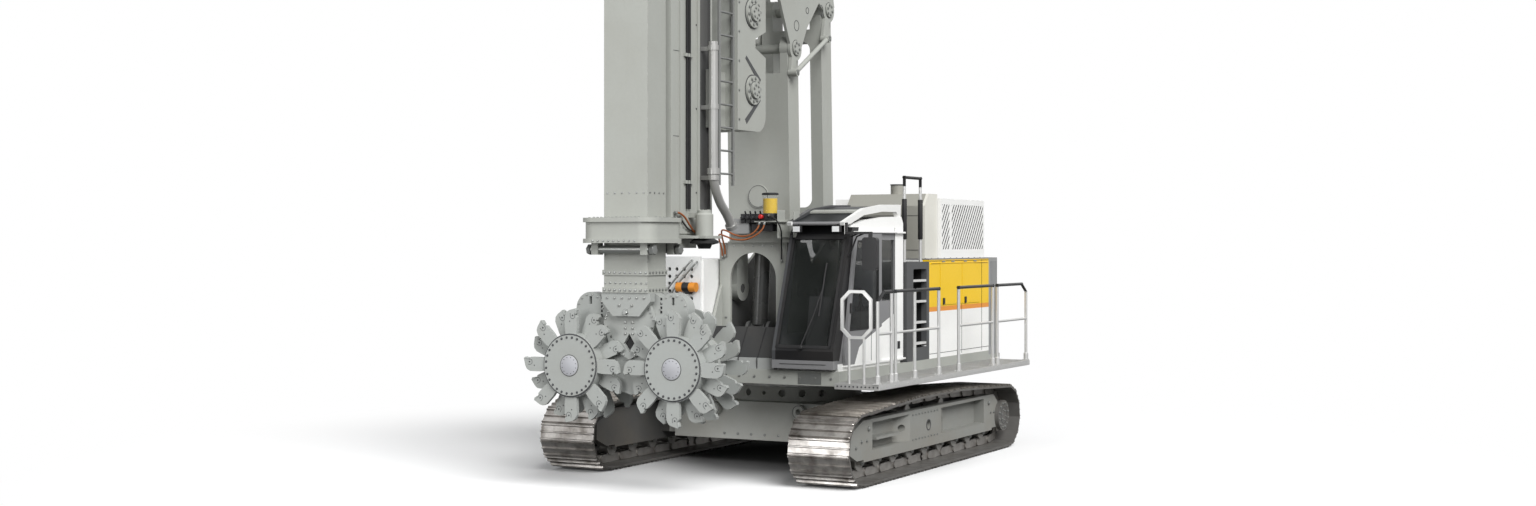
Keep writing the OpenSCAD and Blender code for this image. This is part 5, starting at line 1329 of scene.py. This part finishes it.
# side frames and centre box: places in the side view are (y, z)
FRAME_X, SPROCKET_X, ROLLER_X = TRACK_X + 0.25, TRACK_X + 0.31, TRACK_X + 0.158
SPROCKET = (2.449, 0.452)
FRAME_BOLTS = ((-2.36, 0.46), (-2.2, 0.52), (-2.05, 0.52), (2.08, 0.52), (2.2, 0.52), (2.33, 0.46))
FRAME_CAPS = ((-2.55, 0.61), (-2.0, 0.66), (2.0, 0.66))
PORT = (-0.15, 0.546)
# dark discs of painted shade in the holes: place, radius, depth
FRAME_HOLE_SHADE = ((PORT, 0.0597, 0.055), ((-0.8503, 0.56), 0.0447, 0.14), ((0.4802, 0.56), 0.0447, 0.14))
ROLLER_REACH, ROLLER_Z = WRAP_Y - 0.287 - 0.095 - 0.06, 0.2595


def side_frame(bolts, marks, s):
    axis = (s, 0, 0)
    for p in FRAME_BOLTS:
        bolts.bolt((s * FRAME_X, *p), axis, 0.015)
    for z in (0.715, 0.4):
        bolts.bolt_row((s * FRAME_X, -0.66, z), (0, 0.1, 0), 9, axis, 0.011)
    marks.ring((s * FRAME_X, *PORT), axis, 0.06, 0.074, 0.004, 32)
    # painted shade: dark discs deep in the side frames' holes
    for p, r, depth in FRAME_HOLE_SHADE:
        marks.disc((s * (FRAME_X - depth), *p), axis, 0, 0.004, r, 28)
    bolts.bolt_circle((s * SPROCKET_X, *SPROCKET), axis, 0.172, 12, 0.014)
    bolts.bolt_circle((s * SPROCKET_X, *SPROCKET), axis, 0.075, 6, 0.012)
    marks.ring((s * SPROCKET_X, *SPROCKET), axis, 0.112, 0.119, LINE, 48)
    for p in FRAME_CAPS:
        bolts.lathe((s * FRAME_X, *p), axis, [(-0.002, 0.03), (0.012, 0.03), (0.02, 0.018)], 18)
    for i in range(9):
        end = (s * ROLLER_X, (i / 4 - 1) * ROLLER_REACH, ROLLER_Z)
        bolts.lathe(end, axis, [(-0.004, 0.05), (0.02, 0.05), (0.028, 0.035)], 20)


def undercarriage_details():
    bolts, marks = Shape(), Shape()
    for s in SIDES:
        side_frame(bolts, marks, s)
        for t in SIDES:
            marks.ring((s * 0.63, t * 1.14, 0.725), (0, t, 0), 0.08, 0.086, LINE, 40)
        bolts.bolt_row((-0.5, s * 1.06, 0.4), (0.2, 0, 0), 6, (0, s, 0), 0.013)
    bolts.make("frame_bolts", BOLT, "undercarriage", "bare_steel")
    marks.make("frame_marks", DARK, "undercarriage", "dark_paint")


undercarriage_details()

# floor: pale, with a painted shadow right under the machine, and plain white for the camera further away
FLOOR_SIZE, FLOOR_Z = 400, -0.001
FLOOR_TONE, FLOOR_SHADOW, FLOOR_PALE = (0.22, 0.22, 0.22), 0.12, 0.98
SHADOW_SQUASH, SHADOW_FROM, SHADOW_TO = (1.25, 1.0, 1.0), 1.3, 3.3
FADE_FROM, FADE_TO = 4.5, 10.0


def floor_material():
    made = bpy.data.materials.new("floor")
    made.use_nodes = True
    tree = made.node_tree
    net = Net(tree)
    ground = tree.nodes["Principled BSDF"]
    net.put(0.9, ground.inputs["Roughness"])
    net.put(0.0, ground.inputs["Specular IOR Level"])
    camera_ray = net.add("ShaderNodeLightPath").outputs["Is Camera Ray"]
    place = net.place()
    squashed = net.vector("MULTIPLY", place, SHADOW_SQUASH).outputs["Vector"]
    near = net.vector("LENGTH", squashed).outputs["Value"]
    # painted shadow: for the camera, the floor darkens towards the machine's middle
    shade = net.remap(near, SHADOW_FROM, SHADOW_TO, FLOOR_SHADOW, FLOOR_PALE, "SMOOTHSTEP")
    net.put(net.mix(camera_ray, FLOOR_TONE, shade), ground.inputs["Base Color"])
    far = net.vector("LENGTH", place).outputs["Value"]
    fade = net.remap(far, FADE_FROM, FADE_TO, 0.0, 1.0, "SMOOTHSTEP")
    white = net.add("ShaderNodeEmission")
    net.put(1.0, white.inputs["Strength"])
    seen = net.math("MULTIPLY", fade, camera_ray)
    surface = net.mix_shader(seen, ground.outputs["BSDF"], white.outputs["Emission"])
    net.put(surface, tree.nodes["Material Output"].inputs["Surface"])
    return made


bpy.ops.mesh.primitive_plane_add(size=FLOOR_SIZE, location=(0, 0, FLOOR_Z))
floor = bpy.context.object
floor.name = "floor"
floor.data.materials.append(floor_material())

# light: a soft sky, plain white where it is seen, a sun and a fill
SKY_COLOR, SKY_STRENGTH = (0.97, 0.985, 1.0, 1), 0.27


def studio_world():
    world = bpy.data.worlds.new("studio")
    world.use_nodes = True
    tree = world.node_tree
    net = Net(tree)
    sky = tree.nodes["Background"]
    net.put(SKY_COLOR, sky.inputs["Color"])
    net.put(SKY_STRENGTH, sky.inputs["Strength"])
    white = net.add("ShaderNodeBackground")
    net.put((1, 1, 1, 1), white.inputs["Color"])
    net.put(1.0, white.inputs["Strength"])
    path = net.add("ShaderNodeLightPath")
    seen = path.outputs["Is Camera Ray"]
    for name in ("Is Glossy Ray", "Is Transmission Ray"):
        seen = net.math("MAXIMUM", seen, path.outputs[name])
    surface = net.mix_shader(seen, sky.outputs["Background"], white.outputs["Background"])
    net.put(surface, tree.nodes["World Output"].inputs["Surface"])
    return world


def add_light(lamp, energy, place, aim):
    lamp.energy = energy
    o = bpy.data.objects.new(lamp.name, lamp)
    scene.collection.objects.link(o)
    o.location = place
    o.rotation_euler = (Vector(aim) - Vector(place)).to_track_quat("-Z", "Y").to_euler()


scene.world = studio_world()
sun = bpy.data.lights.new("sun", "SUN")
sun.angle = 0.7
add_light(sun, 3.9, (19.2, -13.8, 20.7), (0, 0, 2))
fill = bpy.data.lights.new("fill", "AREA")
fill.size = 12
add_light(fill, 2300, (-6, -27, 7), (0, -1, 2))

# camera: focal length and shift are in pixels of the photograph
PHOTO_W, FOCAL, SHIFT_DOWN = 1536, 1800, 10
cam = bpy.data.cameras.new("camera")
cam.sensor_width = 36
cam.lens = cam.sensor_width * FOCAL / PHOTO_W
cam.shift_y = -SHIFT_DOWN / PHOTO_W
cam.clip_end = FLOOR_SIZE
camera = bpy.data.objects.new("camera", cam)
scene.collection.objects.link(camera)
camera.location = (11.135, -21.724, 2.9)
camera.rotation_euler = (math.radians(90), 0, math.radians(28))
scene.camera = camera
scene.view_settings.view_transform = "Standard"

bpy.context.view_layer.update()
